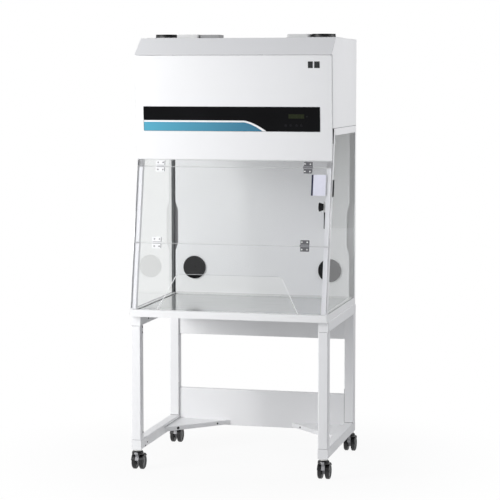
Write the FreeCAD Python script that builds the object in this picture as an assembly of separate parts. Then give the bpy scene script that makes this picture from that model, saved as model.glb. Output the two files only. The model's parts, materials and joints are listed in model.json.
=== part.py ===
import FreeCAD
import Part
import math
import os
from FreeCAD import Vector

os.makedirs("parts", exist_ok=True)

# The hood stands on the floor at z = 0, faces -Y, and is centred on the origin in plan.
# All sizes are in millimetres. Heights are over the floor, depths are behind the stand's front.

# Tolerances for picking edges: a distance, and the cosine of an angle
NEAR = 0.01
PARALLEL = 0.9

# Stand
WIDTH = 1000.0
STAND_DEPTH = 740.0
STAND_TOP = 781.0
TUBE = 50.0
TUBE_WALL = 2.0
TUBE_CORNER = 5.0
CAP_PLATE = 3.0
CAP_PLUG = 12.0
CAP_CLEARANCE = 0.3
STAND_PANEL_DEPTH = 700.0
STAND_PANEL_FOLD = 25.0
UPPER_PANEL_HEIGHT = 184.0
LOWER_PANEL_RAISE = 6.0
LOWER_PANEL_HEIGHT = 193.0
BRACE_RAISE = 34.0
BRACE_FOLD = 22.0
BRACE_SHEET = 2.4
BRACE_LEG = 282.0
BRACE_HOLE = 13.0
BRACE_SMALL_HOLE = 6.0
BRACE_HOLE_INSET = 80.0

# Casters
CASTER_HEIGHT = 106.0
CASTER_TRAIL = 22.0
WHEEL_DIAMETER = 78.0
WHEEL_WIDTH = 21.0
WHEEL_ROUND = 4.0
WHEEL_RECESS = 3.0
WHEEL_RIM = 10.0
WHEEL_GAP = 17.0
AXLE_DIAMETER = 10.0
AXLE_HEAD = 16.0
AXLE_HEAD_THICKNESS = 1.6
STEM_DIAMETER = 10.0
STEM_LENGTH = 18.0
STEM_CUP = 44.0
STEM_CUP_THICKNESS = 7.0
SWIVEL_HEAD = 38.0
CASTER_WEB = 15.0
CASTER_WEB_DROP = 2.0
CASTER_BOSS_RADIUS = 17.0
FENDER_THICKNESS = 2.5
FENDER_CLEARANCE = 2.5
FENDER_START = 35.0
FENDER_END = 165.0

# Chamber
HOOD_INSET = 4.0
SILL_REACH = 26.0
BASE_HEIGHT = 35.0
BASE_FLANGE = 28.0
BASE_FOOT = 45.0
TRAY_DROP = 4.0
TRAY_UPSTAND = 10.0
TRAY_CLEARANCE = 2.0
TRAY_RIBS = 2
TRAY_RIB_WIDTH = 60.0
TRAY_RIB_HEIGHT = 18.0
SASH_FOOT_DEPTH = -18.0
SASH_SLOPE = 0.188
POST_WIDTH = 28.0
POST_DEPTH = 30.0
GLASS = 6.0
GLASS_INSET = 2.0
GLASS_POST_GAP = 0.5
GLASS_CORNER = 35.0
GLASS_REAR_DEPTH = 731.0
REAR_STRIP = 25.0
BAFFLE_DEPTH = 705.0
AIR_SLOT = 26.0
BAFFLE_NOTCH = 14.0
BAFFLE_NOTCH_RAISE = 226.0
BAFFLE_NOTCH_HEIGHT = 261.0
BAFFLE_NOTCH_RAMP = 42.0
PORT_DIAMETER = 122.0
PORT_INSET = 104.0
PORT_RAISE = 139.0
PORT_THICKNESS = 9.0
PORT_BEVEL = 2.0
PORT_RIM = 8.0
PORT_DISH = 4.0
CLIP_RAISE = 566.0
CLIP_HEIGHT = 81.0
CLIP_WIDTH = 14.0
CLIP_THICKNESS = 3.0
CATCH_HEIGHT = 72.0
CATCH_DROP = 1.0
CATCH_WIDTH = 10.0
CATCH_GAP = 0.3

# Sash
FLAP = 5.0
FLAP_SEAT = 0.3
FLAP_INSET = 6.0
UPPER_HINGE_RAISE = 705.0
LOWER_HINGE_RAISE = 329.0
FLAP_EDGE_GAP = 1.5
FLAP_CORNER = 6.0
HEADER_GAP = 3.0
SILL_GAP = 3.0
ARM_HEIGHT = 177.0
ARM_INSET_TOP = 228.0
ARM_INSET_BOTTOM = 138.0
ARM_CORNER = 12.0
HINGE_WIDTH = 47.0
HINGE_LEAF_HEIGHT = 28.0
HINGE_LEAF = 1.5
HINGE_LEAF_CORNER = 3.0
HINGE_INSET = 116.0
KNUCKLES = 3
KNUCKLE_RADIUS = 3.0
HINGE_PIN_RADIUS = 1.5
HINGE_PLAY = 0.05
HINGE_END_GAP = 0.3

# Service valve on the right post
VALVE_RAISE = 520.0
VALVE_BODY = 13.0
VALVE_BODY_DEPTH = 13.0
VALVE_SETBACK = 23.5
VALVE_BODY_HEIGHT = 52.0
VALVE_BODY_CORNER = 4.0
VALVE_KNOB = 45.0
VALVE_KNOB_BACK = 30.0
VALVE_KNOB_LENGTH = 22.0
VALVE_KNOB_SCALLOPS = 6
VALVE_SCALLOP_RADIUS = 5.0
VALVE_SCALLOP_OUT = 2.0
VALVE_STEM = 8.0
VALVE_STEM_DEPTH = 8.0
VALVE_STEM_PLAY = 0.1
NOZZLE_LENGTH = 80.0
NOZZLE_TOP_RADIUS = 5.0
NOZZLE_TIP_RADIUS = 3.0
NOZZLE_BORE_RADIUS = 1.8
NOZZLE_BARBS = 5
NOZZLE_BARB = 0.8

# Head
CHAMBER_HEIGHT = 897.0
HEAD_HEIGHT = 441.0
RING_HEIGHT = 35.0
RING_WIDTH = 30.0
RING_FRONT_DEPTH = 182.0
CHAMFER_TOP_DEPTH = 188.0
CHAMFER_FOOT_DEPTH = 71.0
CHAMFER_DROP = 84.0
SHEET = 1.2
BEND = 1.5
HEAD_FOLD = 15.0
SEAM = 3.0
ROOF_SEAT = 0.3

# Swing-up front door
DOOR_SLOPE = 0.0705
DOOR_TOP_GAP = 4.0
DOOR_OVERHANG = 159.0
DOOR_SIDE_GAP = 2.0
DOOR_FOLD = 22.0
DOOR_BOTTOM_FOLD = 10.0
DOOR_BOTTOM_RADIUS = 8.0
DOOR_TAPER = 76.0
PIVOT_DROP = 6.0
PIVOT_DEPTH = 83.0
PIVOT_RADIUS = 3.0
PIVOT_PLAY = 0.1
PIVOT_NOSE = 8.0
PIVOT_PLATE = 3.0
PIVOT_PLATE_GAP = 2.0
PIVOT_FOOT = 32.0

# Control panel on the door
PANEL_LEFT_INSET = 39.0
PANEL_RIGHT_INSET = 57.0
PANEL_DROP = 16.0
PANEL_HEIGHT = 121.0
PANEL_THICKNESS = 1.5
PANEL_CORNER = 2.0
DISPLAY_INSET = 117.0
DISPLAY_WIDTH = 78.0
DISPLAY_HEIGHT = 21.0
DISPLAY_RAISE = 75.0
DISPLAY_PROUD = 0.4
DISPLAY_RIM = 3.0
DISPLAY_RIM_DEPTH = 2.0
BUTTON_INSETS = (169.0, 145.0, 115.0, 92.0)
BUTTON_RAISE = 31.0
BUTTON_DIAMETER = 13.0
BUTTON_PROUD = 1.6
BUTTON_FLANGE = 16.0
BUTTON_FLANGE_THICKNESS = 1.2
BUTTON_PLUNGER = 4.0
BUTTON_TRAVEL = 0.8
BUTTON_PLAY = 0.3
BOARD_BOX_DEPTH = 24.0
BOARD_BOX_MARGIN = 14.0
BOARD_BOX_WALL = 2.0
BOARD_DEPTH = 8.0
BOARD = 1.6

# Filters and fans in the head
PREFILTER_HEIGHT = 46.0
FILTER_HEIGHT = 215.0
FILTER_MARGIN = 12.0
FILTER_HANDLE = 110.0
PLEAT_PITCH = 30.0
PLEAT_DEPTH = 26.0
PLEAT_THICKNESS = 4.0
HANDLE_REACH = 22.0
HANDLE_BAR = 6.0
FAN_INSET = 93.0
FAN_DEPTH = 345.0
FAN_DIAMETER = 120.0
FAN_WALL = 3.0
FAN_RISE = 15.0
FAN_HOUSING_HEIGHT = 86.0
FAN_FLANGE = 148.0
FAN_FLANGE_THICKNESS = 2.0
FAN_HOLE_CLEARANCE = 1.0
MOTOR_DIAMETER = 46.0
MOTOR_HEIGHT = 32.0
MOTOR_ARM = 8.0
MOTOR_SHAFT = 8.0
MOTOR_SHAFT_LENGTH = 20.0
IMPELLER_HUB = 50.0
IMPELLER_HEIGHT = 28.0
IMPELLER_BLADES = 7
IMPELLER_TIP_GAP = 2.5
IMPELLER_BLADE = 2.0
IMPELLER_PITCH = 34.0
IMPELLER_TWIST = 10.0
IMPELLER_ROOT_CHORD = 26.0
IMPELLER_TIP_CHORD = 32.0
IMPELLER_ROUND = 4.0
SHAFT_PLAY = 0.05
RUNNING_GAP = 0.5
GUARD_WIRE = 3.0
GUARD_RINGS = 5
GUARD_SPOKES = 4
GUARD_TURN = 22.5
GUARD_DISC = 38.0
EXHAUST_EDGE = 10.0
EXHAUST_PLATE = 259.0
EXHAUST_PLATE_DEPTH = 150.0
EXHAUST_PLATE_THICKNESS = 4.0
EXHAUST_BOX = 112.0
EXHAUST_BOX_DEPTH = 120.0
EXHAUST_BOX_RISE = 20.0
EXHAUST_BOX_CORNER = 10.0
TERMINAL_BOX_GAP = 4.0
TERMINAL_BOX_WIDTH = 102.0
TERMINAL_BOX_DEPTH = 90.0
TERMINAL_BOX_HEIGHT = 19.0
TERMINAL_BOX_CORNER = 4.0
INLET_WIDTH = 26.0
INLET_HEIGHT = 14.0
INLET_DEPTH = 16.0
INLET_PIN = 2.0
INLET_PIN_PITCH = 7.0

# Places that follow from the sizes above
CASTER_REAR_REACH = STAND_DEPTH - TUBE / 2 + CASTER_TRAIL + WHEEL_DIAMETER / 2
FRONT = SILL_REACH - (SILL_REACH + CASTER_REAR_REACH) / 2
REAR = FRONT + STAND_DEPTH
UPPER_PANEL_BOTTOM = STAND_TOP - UPPER_PANEL_HEIGHT
LOWER_PANEL_BOTTOM = CASTER_HEIGHT + LOWER_PANEL_RAISE
LOWER_PANEL_TOP = LOWER_PANEL_BOTTOM + LOWER_PANEL_HEIGHT
BRACE_TOP = CASTER_HEIGHT + BRACE_RAISE
BASE_TOP = STAND_TOP + BASE_HEIGHT
TRAY_TOP = BASE_TOP - TRAY_DROP
HEAD_BOTTOM = BASE_TOP + CHAMBER_HEIGHT
HOOD_TOP = HEAD_BOTTOM + HEAD_HEIGHT
FAN_TOP = HOOD_TOP + FAN_RISE
CHAMFER_FOOT_HEIGHT = HOOD_TOP - CHAMFER_DROP
DOOR_TOP = CHAMFER_FOOT_HEIGHT - DOOR_TOP_GAP
DOOR_BOTTOM = HEAD_BOTTOM - DOOR_OVERHANG
DOOR_TAPER_TOP = DOOR_BOTTOM + DOOR_TAPER
PIVOT_HEIGHT = DOOR_TOP - PIVOT_DROP
PANEL_BOTTOM = HEAD_BOTTOM - PANEL_DROP
PANEL_TOP = PANEL_BOTTOM + PANEL_HEIGHT
DISPLAY_CENTRE_HEIGHT = PANEL_BOTTOM + DISPLAY_RAISE
BUTTON_HEIGHT = PANEL_BOTTOM + BUTTON_RAISE
BAFFLE_NOTCH_BOTTOM = BASE_TOP + BAFFLE_NOTCH_RAISE
BAFFLE_NOTCH_TOP = BAFFLE_NOTCH_BOTTOM + BAFFLE_NOTCH_HEIGHT
PORT_HEIGHT = BASE_TOP + PORT_RAISE
CLIP_BOTTOM = BASE_TOP + CLIP_RAISE
CLIP_TOP = CLIP_BOTTOM + CLIP_HEIGHT
CATCH_TOP = HEAD_BOTTOM - CATCH_DROP
CATCH_BOTTOM = CATCH_TOP - CATCH_HEIGHT
UPPER_HINGE_HEIGHT = BASE_TOP + UPPER_HINGE_RAISE
LOWER_HINGE_HEIGHT = BASE_TOP + LOWER_HINGE_RAISE
HEADER_TOP = DOOR_BOTTOM - HEADER_GAP
ARM_TOP = BASE_TOP + ARM_HEIGHT
VALVE_HEIGHT = BASE_TOP + VALVE_RAISE
HOOD_HALF = WIDTH / 2 - HOOD_INSET
BAFFLE_HALF_WIDTH = HOOD_HALF - AIR_SLOT
PORT_X = BAFFLE_HALF_WIDTH - PORT_INSET
FLAP_HALF_WIDTH = HOOD_HALF - FLAP_INSET
ARM_HALF_WIDTH_TOP = FLAP_HALF_WIDTH - ARM_INSET_TOP
ARM_HALF_WIDTH_BOTTOM = FLAP_HALF_WIDTH - ARM_INSET_BOTTOM
HINGE_X = FLAP_HALF_WIDTH - HINGE_INSET
DOOR_HALF_WIDTH = HOOD_HALF - DOOR_SIDE_GAP
PANEL_LEFT = PANEL_LEFT_INSET - DOOR_HALF_WIDTH
PANEL_RIGHT = DOOR_HALF_WIDTH - PANEL_RIGHT_INSET
DISPLAY_CENTRE = PANEL_RIGHT - DISPLAY_INSET
BUTTON_PLACES = [PANEL_RIGHT - inset for inset in BUTTON_INSETS]
FAN_X = HOOD_HALF - FAN_INSET
EXHAUST_INNER = HOOD_HALF - EXHAUST_EDGE - EXHAUST_PLATE
TERMINAL_BOX_LEFT = TERMINAL_BOX_GAP - EXHAUST_INNER
POST_INNER = HOOD_HALF - POST_WIDTH
SASH_FOOT = FRONT + SASH_FOOT_DEPTH
SASH_ANGLE = math.degrees(math.atan(SASH_SLOPE))
SASH_COS = math.cos(math.radians(SASH_ANGLE))
DOOR_ANGLE = math.degrees(math.atan(DOOR_SLOPE))
RING_BOTTOM = HEAD_BOTTOM - RING_HEIGHT
RING_FRONT = FRONT + RING_FRONT_DEPTH
LEG_CENTRE_X = WIDTH / 2 - TUBE / 2
FRONT_LEG_Y = FRONT + TUBE / 2
REAR_LEG_Y = REAR - TUBE / 2
STAND_PANEL = FRONT + STAND_PANEL_DEPTH
AXLE_HEIGHT = WHEEL_DIAMETER / 2


def sash_y(height):
    """Y of the posts' front face, the plane that the sash lies on."""
    return SASH_FOOT + SASH_SLOPE * (height - BASE_TOP)


def sash_t(height):
    """Distance up the slope of the sash plane from the sill."""
    return (height - BASE_TOP) / SASH_COS


def door_y(height):
    """Y of the door's outer face."""
    return FRONT + CHAMFER_FOOT_DEPTH + DOOR_SLOPE * (CHAMFER_FOOT_HEIGHT - height)


def save(name, solids):
    """Write one sub-part, a single solid or a group of separate solids."""
    shape = solids[0] if len(solids) == 1 else Part.makeCompound(solids)
    shape.exportStep("parts/" + name + ".step")


def box(x0, x1, y0, y1, z0, z1):
    return Part.makeBox(x1 - x0, y1 - y0, z1 - z0, Vector(x0, y0, z0))


def rod(start, direction, radius, length):
    return Part.makeCylinder(radius, length, start, direction)


def mirrored(shape):
    return shape.mirror(Vector(0, 0, 0), Vector(1, 0, 0))


def moved(shape, x=0.0, y=0.0, z=0.0):
    return shape.translated(Vector(x, y, z))


def fused(shapes):
    whole = shapes[0].fuse(shapes[1:]) if len(shapes) > 1 else shapes[0]
    return whole.removeSplitter().Solids[0]


def along_x(points, x0, x1):
    """A closed outline of (y, z) points, extruded along X."""
    wire = Part.makePolygon([Vector(x0, y, z) for y, z in points + points[:1]])
    return Part.Face(wire).extrude(Vector(x1 - x0, 0, 0))


def along_y(points, y0, y1):
    """A closed outline of (x, z) points, extruded along Y."""
    wire = Part.makePolygon([Vector(x, y0, z) for x, z in points + points[:1]])
    return Part.Face(wire).extrude(Vector(0, y1 - y0, 0))


def along_z(points, z0, z1):
    """A closed outline of (x, y) points, extruded along Z."""
    wire = Part.makePolygon([Vector(x, y, z0) for x, y in points + points[:1]])
    return Part.Face(wire).extrude(Vector(0, 0, z1 - z0))


def rounded_slab(x0, x1, y0, y1, z0, z1, radius, axis):
    """A box whose four edges along one axis are rounded."""
    slab = box(x0, x1, y0, y1, z0, z1)
    edges = [e for e in slab.Edges if abs(e.tangentAt(0).dot(axis)) > PARALLEL]
    return slab.makeFillet(radius, edges)


def folded(points, thickness, bend, x0, x1):
    """A sheet folded along X. Its outer face follows the (y, z) points, its body is to their left."""

    def side(offset):
        edges = []
        last = None
        for i, (y, z) in enumerate(points):
            here = Vector(0, y, z)
            if 0 < i < len(points) - 1:
                back = Vector(0, points[i - 1][0] - y, points[i - 1][1] - z).normalize()
                ahead = Vector(0, points[i + 1][0] - y, points[i + 1][1] - z).normalize()
                into = back * -1
                turn = math.atan2(into.y * ahead.z - into.z * ahead.y, into.dot(ahead))
                left = Vector(0, -into.z, into.y)
                corner = here + left * offset + into * (-offset * math.tan(turn / 2))
                outer = (turn > 0) == (offset == 0)
                reach = (bend + thickness if outer else bend) * math.tan(abs(turn) / 2)
                start = corner + back * reach
                end = corner + ahead * reach
                radius = bend + thickness if outer else bend
                half = (back + ahead).normalize()
                middle = corner + half * (radius / math.cos(turn / 2) - radius)
                edges.append(Part.makeLine(last, start))
                edges.append(Part.Arc(start, middle, end).toShape())
                last = end
            else:
                j = i + 1 if i == 0 else i - 1
                run = Vector(0, points[j][0] - y, points[j][1] - z).normalize()
                run = run if i == 0 else run * -1
                spot = here + Vector(0, -run.z, run.y) * offset
                if i > 0:
                    edges.append(Part.makeLine(last, spot))
                last = spot
        return edges, last

    outer, outer_end = side(0.0)
    inner, inner_end = side(thickness)
    start = Part.makeLine(outer[0].Vertexes[0].Point, inner[0].Vertexes[0].Point)
    end = Part.makeLine(outer_end, inner_end)
    wire = Part.Wire(Part.__sortEdges__(outer + inner + [start, end]))
    return moved(Part.Face(wire).extrude(Vector(x1 - x0, 0, 0)), x0)


def on_sash(shape):
    """Lean a shape back with the sash. Its own z runs up the slope, y = 0 is the posts' front."""
    leaned = shape.rotated(Vector(0, 0, 0), Vector(1, 0, 0), -SASH_ANGLE)
    return moved(leaned, 0, SASH_FOOT, BASE_TOP)


def on_door(shape):
    """Lean a shape with the door. Its y = 0 is the door's outer face, z is the height."""
    centred = moved(shape, 0, 0, -BUTTON_HEIGHT)
    leaned = centred.rotated(Vector(0, 0, 0), Vector(1, 0, 0), DOOR_ANGLE)
    return moved(leaned, 0, door_y(BUTTON_HEIGHT), BUTTON_HEIGHT)


def square_tube(length):
    """A square tube along Z, centred on the Z axis."""
    half = TUBE / 2
    upright = Vector(0, 0, 1)
    outer = rounded_slab(-half, half, -half, half, 0, length, TUBE_CORNER, upright)
    bore = half - TUBE_WALL
    inner = rounded_slab(-bore, bore, -bore, bore, 0, length, TUBE_CORNER - TUBE_WALL, upright)
    return outer.cut(inner)


def stand_side_frame():
    """The left side of the stand: two legs between a bottom and a top rail, welded."""
    rail_length = STAND_DEPTH - 2 * CAP_PLATE
    rail = square_tube(rail_length).rotated(Vector(0, 0, 0), Vector(1, 0, 0), -90)
    rail = moved(rail, -LEG_CENTRE_X, FRONT + CAP_PLATE)
    bottom = moved(rail, z=CASTER_HEIGHT + TUBE / 2)
    top = moved(rail, z=STAND_TOP - TUBE / 2)
    leg = square_tube(STAND_TOP - CASTER_HEIGHT - 2 * TUBE)
    legs = [moved(leg, -LEG_CENTRE_X, y, CASTER_HEIGHT + TUBE)
            for y in (FRONT_LEG_Y, REAR_LEG_Y)]
    return fused([bottom, top] + legs)


def rail_end_caps():
    """Plastic caps with a plug, in the front and rear ends of the four rails."""
    half = TUBE / 2
    plug = half - TUBE_WALL - CAP_CLEARANCE
    across = Vector(0, 1, 0)
    corner = TUBE_CORNER - TUBE_WALL
    plate = rounded_slab(-half, half, 0, CAP_PLATE, -half, half, TUBE_CORNER, across)
    shank = rounded_slab(-plug, plug, CAP_PLATE, CAP_PLATE + CAP_PLUG, -plug, plug, corner, across)
    cap = plate.fuse(shank).removeSplitter()
    rear_cap = cap.rotated(Vector(0, 0, 0), Vector(0, 0, 1), 180)
    caps = []
    for x in (-LEG_CENTRE_X, LEG_CENTRE_X):
        for z in (CASTER_HEIGHT + half, STAND_TOP - half):
            caps.append(moved(cap, x, FRONT, z))
            caps.append(moved(rear_cap, x, REAR, z))
    return [c.Solids[0] for c in caps]


def stand_panel(bottom, top):
    """A sheet between the rear legs, folded back along its top and bottom edges."""
    half = WIDTH / 2 - TUBE
    back = STAND_PANEL + STAND_PANEL_FOLD
    outline = [(back, top), (STAND_PANEL, top), (STAND_PANEL, bottom), (back, bottom)]
    sheet = folded(outline, SHEET, BEND, -half, half)
    inset = SHEET + BEND
    side = box(-half, -half + SHEET, STAND_PANEL, back, bottom + inset, top - inset)
    return fused([sheet, side, mirrored(side)])


def corner_brace():
    """The left brace: a three-cornered tray between the bottom rail and the lower rear panel."""
    x = -(WIDTH / 2 - TUBE)
    y = STAND_PANEL
    bottom = BRACE_TOP - BRACE_FOLD

    def corner(inset):
        diagonal = inset * (1 + math.sqrt(2))
        return [(x + inset, y - inset), (x + BRACE_LEG - diagonal, y - inset),
                (x + inset, y - BRACE_LEG + diagonal)]

    tray = along_z(corner(0), bottom, BRACE_TOP)
    tray = tray.cut(along_z(corner(BRACE_SHEET), bottom, BRACE_TOP - BRACE_SHEET))
    slant = Vector(-1, 1, 0).normalize()
    run = Vector(1, 1, 0).normalize()
    for inset, diameter in ((BRACE_HOLE_INSET, BRACE_HOLE),
                            (BRACE_LEG * math.sqrt(2) - BRACE_HOLE_INSET, BRACE_SMALL_HOLE)):
        spot = Vector(x, y - BRACE_LEG, (bottom + BRACE_TOP) / 2) + run * inset - slant * BRACE_SHEET
        tray = tray.cut(rod(spot, slant, diameter / 2, BRACE_SHEET * 4))
    return tray.Solids[0]


def caster_stem():
    """A bearing cup under the leg, with the pin that the caster swivels on."""
    top = Vector(0, 0, CASTER_HEIGHT)
    down = Vector(0, 0, -1)
    cup = rod(top, down, STEM_CUP / 2, STEM_CUP_THICKNESS)
    pin = rod(top, down, STEM_DIAMETER / 2, STEM_CUP_THICKNESS + STEM_LENGTH)
    return fused([cup, pin])


def caster_body():
    """Swivel head, web between the wheels, fender over them, and axle. It trails along +Y."""
    head_top = CASTER_HEIGHT - STEM_CUP_THICKNESS - RUNNING_GAP
    fender_outer = WHEEL_DIAMETER / 2 + FENDER_CLEARANCE + FENDER_THICKNESS
    half = WHEEL_GAP / 2 + WHEEL_WIDTH
    axle = Vector(-half, CASTER_TRAIL, AXLE_HEIGHT)
    sideways = Vector(1, 0, 0)
    ring = Part.makeCylinder(fender_outer, 2 * half, axle, sideways)
    bore = Part.makeCylinder(fender_outer - FENDER_THICKNESS, 2 * half, axle, sideways)
    sector = [(CASTER_TRAIL, AXLE_HEIGHT)]
    for angle in (FENDER_START, (FENDER_START + FENDER_END) / 2, FENDER_END):
        a = math.radians(angle)
        reach = 2 * fender_outer
        sector.append((CASTER_TRAIL + reach * math.cos(a), AXLE_HEIGHT + reach * math.sin(a)))
    fender = ring.cut(bore).common(along_x(sector, -half, half))
    web_x = CASTER_WEB / 2
    disc = Part.makeCylinder(CASTER_BOSS_RADIUS, CASTER_WEB, Vector(-web_x, CASTER_TRAIL, AXLE_HEIGHT),
                             sideways)
    front = -SWIVEL_HEAD / 2
    neck_outline = [(front, head_top), (front, head_top - CASTER_BOSS_RADIUS),
                    (CASTER_TRAIL - CASTER_BOSS_RADIUS, AXLE_HEIGHT - CASTER_WEB_DROP),
                    (CASTER_TRAIL + CASTER_BOSS_RADIUS, AXLE_HEIGHT),
                    (CASTER_TRAIL + SWIVEL_HEAD / 2, AXLE_HEIGHT + WHEEL_DIAMETER / 2),
                    (-front, head_top)]
    neck = along_x(neck_outline, -web_x, web_x)
    head_bottom = AXLE_HEIGHT + WHEEL_DIAMETER / 2 + FENDER_CLEARANCE
    head = rod(Vector(0, 0, head_bottom), Vector(0, 0, 1), SWIVEL_HEAD / 2, head_top - head_bottom)
    shaft = rod(axle + Vector(WHEEL_RECESS - AXLE_HEAD_THICKNESS, 0, 0), sideways, AXLE_DIAMETER / 2,
                2 * (half - WHEEL_RECESS + AXLE_HEAD_THICKNESS))
    body = fused([neck, disc, fender, head, shaft])
    for side in (-1, 1):
        start = axle + Vector(half + side * (half - WHEEL_RECESS + RUNNING_GAP), 0, 0)
        stud = rod(start, Vector(side, 0, 0), AXLE_HEAD / 2, AXLE_HEAD_THICKNESS - RUNNING_GAP)
        body = body.fuse(stud)
    pin_hole = rod(Vector(0, 0, head_top), Vector(0, 0, -1), STEM_DIAMETER / 2 + SHAFT_PLAY,
                   STEM_LENGTH + RUNNING_GAP)
    return body.cut(pin_hole).removeSplitter().Solids[0]


def caster_wheel():
    """A wheel turned about the X axis, from x = 0 outwards, with a recessed outer face."""
    outer = WHEEL_DIAMETER / 2
    bore = AXLE_DIAMETER / 2 + SHAFT_PLAY
    rim = outer - WHEEL_RIM
    hub_face = WHEEL_WIDTH - WHEEL_RECESS
    points = [(0, bore), (0, outer - WHEEL_ROUND), (WHEEL_ROUND, outer),
              (WHEEL_WIDTH - WHEEL_ROUND, outer), (WHEEL_WIDTH, outer - WHEEL_ROUND),
              (WHEEL_WIDTH, rim), (hub_face, rim - WHEEL_RECESS), (hub_face, bore)]
    wire = Part.makePolygon([Vector(x, 0, r) for x, r in points + points[:1]])
    return Part.Face(wire).revolve(Vector(0, 0, 0), Vector(1, 0, 0), 360).Solids[0]


def casters():
    corners = {"fl": (-LEG_CENTRE_X, FRONT_LEG_Y), "fr": (LEG_CENTRE_X, FRONT_LEG_Y),
               "rl": (-LEG_CENTRE_X, REAR_LEG_Y), "rr": (LEG_CENTRE_X, REAR_LEG_Y)}
    save("caster_stems", [moved(caster_stem(), x, y) for x, y in corners.values()])
    body = caster_body()
    wheel = moved(caster_wheel(), WHEEL_GAP / 2, CASTER_TRAIL, AXLE_HEIGHT)
    other = mirrored(wheel)
    for corner, (x, y) in corners.items():
        save("caster_body_" + corner, [moved(body, x, y)])
        outer, inner = (other, wheel) if x < 0 else (wheel, other)
        save("caster_wheel_" + corner + "_outer", [moved(outer, x, y)])
        save("caster_wheel_" + corner + "_inner", [moved(inner, x, y)])


def stand():
    frame = stand_side_frame()
    save("stand_side_frame_left", [frame])
    save("stand_side_frame_right", [mirrored(frame)])
    save("rail_end_caps", rail_end_caps())
    save("stand_rear_panel_upper", [stand_panel(UPPER_PANEL_BOTTOM, STAND_TOP)])
    save("stand_rear_panel_lower", [stand_panel(LOWER_PANEL_BOTTOM, LOWER_PANEL_TOP)])
    brace = corner_brace()
    save("corner_braces", [brace, mirrored(brace)])


def base_frame():
    """The hood's folded base: an outer wall with a top and a bottom flange, open inwards."""
    front = FRONT - SILL_REACH
    ring = box(-HOOD_HALF, HOOD_HALF, front, REAR, STAND_TOP, BASE_TOP)
    inset = SHEET
    ring = ring.cut(box(-HOOD_HALF + inset, HOOD_HALF - inset, front + inset, REAR - inset,
                        STAND_TOP + inset, BASE_TOP - inset))
    middle = (STAND_TOP + BASE_TOP) / 2
    for inset, bottom, top in ((BASE_FOOT, STAND_TOP, middle), (BASE_FLANGE, middle, BASE_TOP)):
        ring = ring.cut(box(-HOOD_HALF + inset, HOOD_HALF - inset, front + inset, REAR - inset,
                            bottom, top))
    return ring.Solids[0]


def work_tray():
    """The work surface: an inverted pan with two ribs below and an upstand before the baffle."""
    half = HOOD_HALF - BASE_FLANGE - TRAY_CLEARANCE
    front = FRONT - SILL_REACH + BASE_FLANGE + TRAY_CLEARANCE
    rear = FRONT + BAFFLE_DEPTH
    bottom = STAND_TOP + SHEET
    pan = box(-half, half, front, rear, bottom, TRAY_TOP)
    wall = SHEET
    pan = pan.cut(box(-half + wall, half - wall, front + wall, rear - wall, bottom, TRAY_TOP - wall))
    upstand = box(-half, half, rear - wall, rear, TRAY_TOP, TRAY_TOP + TRAY_UPSTAND)
    ribs = []
    for i in range(TRAY_RIBS):
        y = front + (i + 1) / (TRAY_RIBS + 1) * (rear - front)
        low = TRAY_TOP - TRAY_RIB_HEIGHT
        rib = box(-half + wall, half - wall, y - TRAY_RIB_WIDTH / 2, y + TRAY_RIB_WIDTH / 2,
                  low, TRAY_TOP - wall)
        hollow = box(-half, half, y - TRAY_RIB_WIDTH / 2 + wall, y + TRAY_RIB_WIDTH / 2 - wall,
                     low + wall, TRAY_TOP - wall)
        ribs.append(rib.cut(hollow))
    return fused([pan, upstand] + ribs)


def front_post():
    """The left post: a leaning box tube from the base to the head, cut level at both ends."""
    reach = POST_DEPTH / SASH_COS
    wall = SHEET / SASH_COS

    def outline(front_inset, rear_inset):
        return [(sash_y(BASE_TOP) + front_inset, BASE_TOP), (sash_y(BASE_TOP) + reach - rear_inset, BASE_TOP),
                (sash_y(HEAD_BOTTOM) + reach - rear_inset, HEAD_BOTTOM),
                (sash_y(HEAD_BOTTOM) + front_inset, HEAD_BOTTOM)]

    post = along_x(outline(0, 0), -HOOD_HALF, -POST_INNER)
    bore = along_x(outline(wall, wall), -HOOD_HALF + SHEET, -POST_INNER - SHEET)
    return post.cut(bore).Solids[0]


def side_glass():
    """The left pane, behind the post, with its upper front corner rounded."""
    reach = POST_DEPTH / SASH_COS + GLASS_POST_GAP
    rear = FRONT + GLASS_REAR_DEPTH
    outline = [(sash_y(BASE_TOP) + reach, BASE_TOP), (rear, BASE_TOP), (rear, RING_BOTTOM),
               (sash_y(RING_BOTTOM) + reach, RING_BOTTOM)]
    pane = along_x(outline, -HOOD_HALF + GLASS_INSET, -HOOD_HALF + GLASS_INSET + GLASS)
    corner = [e for e in pane.Edges
              if e.BoundBox.ZMin > RING_BOTTOM - 1 and e.BoundBox.YMax < FRONT + RING_FRONT_DEPTH
              and e.BoundBox.YLength < 1]
    return pane.makeFillet(GLASS_CORNER, corner).Solids[0]


def rear_panel():
    """The back sheet from the base to the roof, with a strip folded over each pane's rear edge."""
    sheet = box(-HOOD_HALF, HOOD_HALF, REAR - SHEET, REAR, BASE_TOP, HOOD_TOP - SHEET)
    strip = box(-HOOD_HALF, -HOOD_HALF + SHEET, REAR - REAR_STRIP, REAR, BASE_TOP, RING_BOTTOM)
    return fused([sheet, strip, mirrored(strip)])


def rear_baffle():
    """The chamber's back: a sheet with long notches that leave an air slot at each side."""
    front = FRONT + BAFFLE_DEPTH
    half = BAFFLE_HALF_WIDTH
    notch = half - BAFFLE_NOTCH
    low, high, ramp = BAFFLE_NOTCH_BOTTOM, BAFFLE_NOTCH_TOP, BAFFLE_NOTCH_RAMP
    right = [(half, BASE_TOP), (half, low), (notch, low + ramp), (notch, high - ramp), (half, high),
             (half, RING_BOTTOM)]
    left = [(-x, z) for x, z in reversed(right)]
    sheet = along_y(right + left, front, front + SHEET)
    flanges = [box(-half, half, front, REAR - SHEET, z, z + SHEET)
               for z in (BASE_TOP, RING_BOTTOM - SHEET)]
    return fused([sheet] + flanges)


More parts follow.
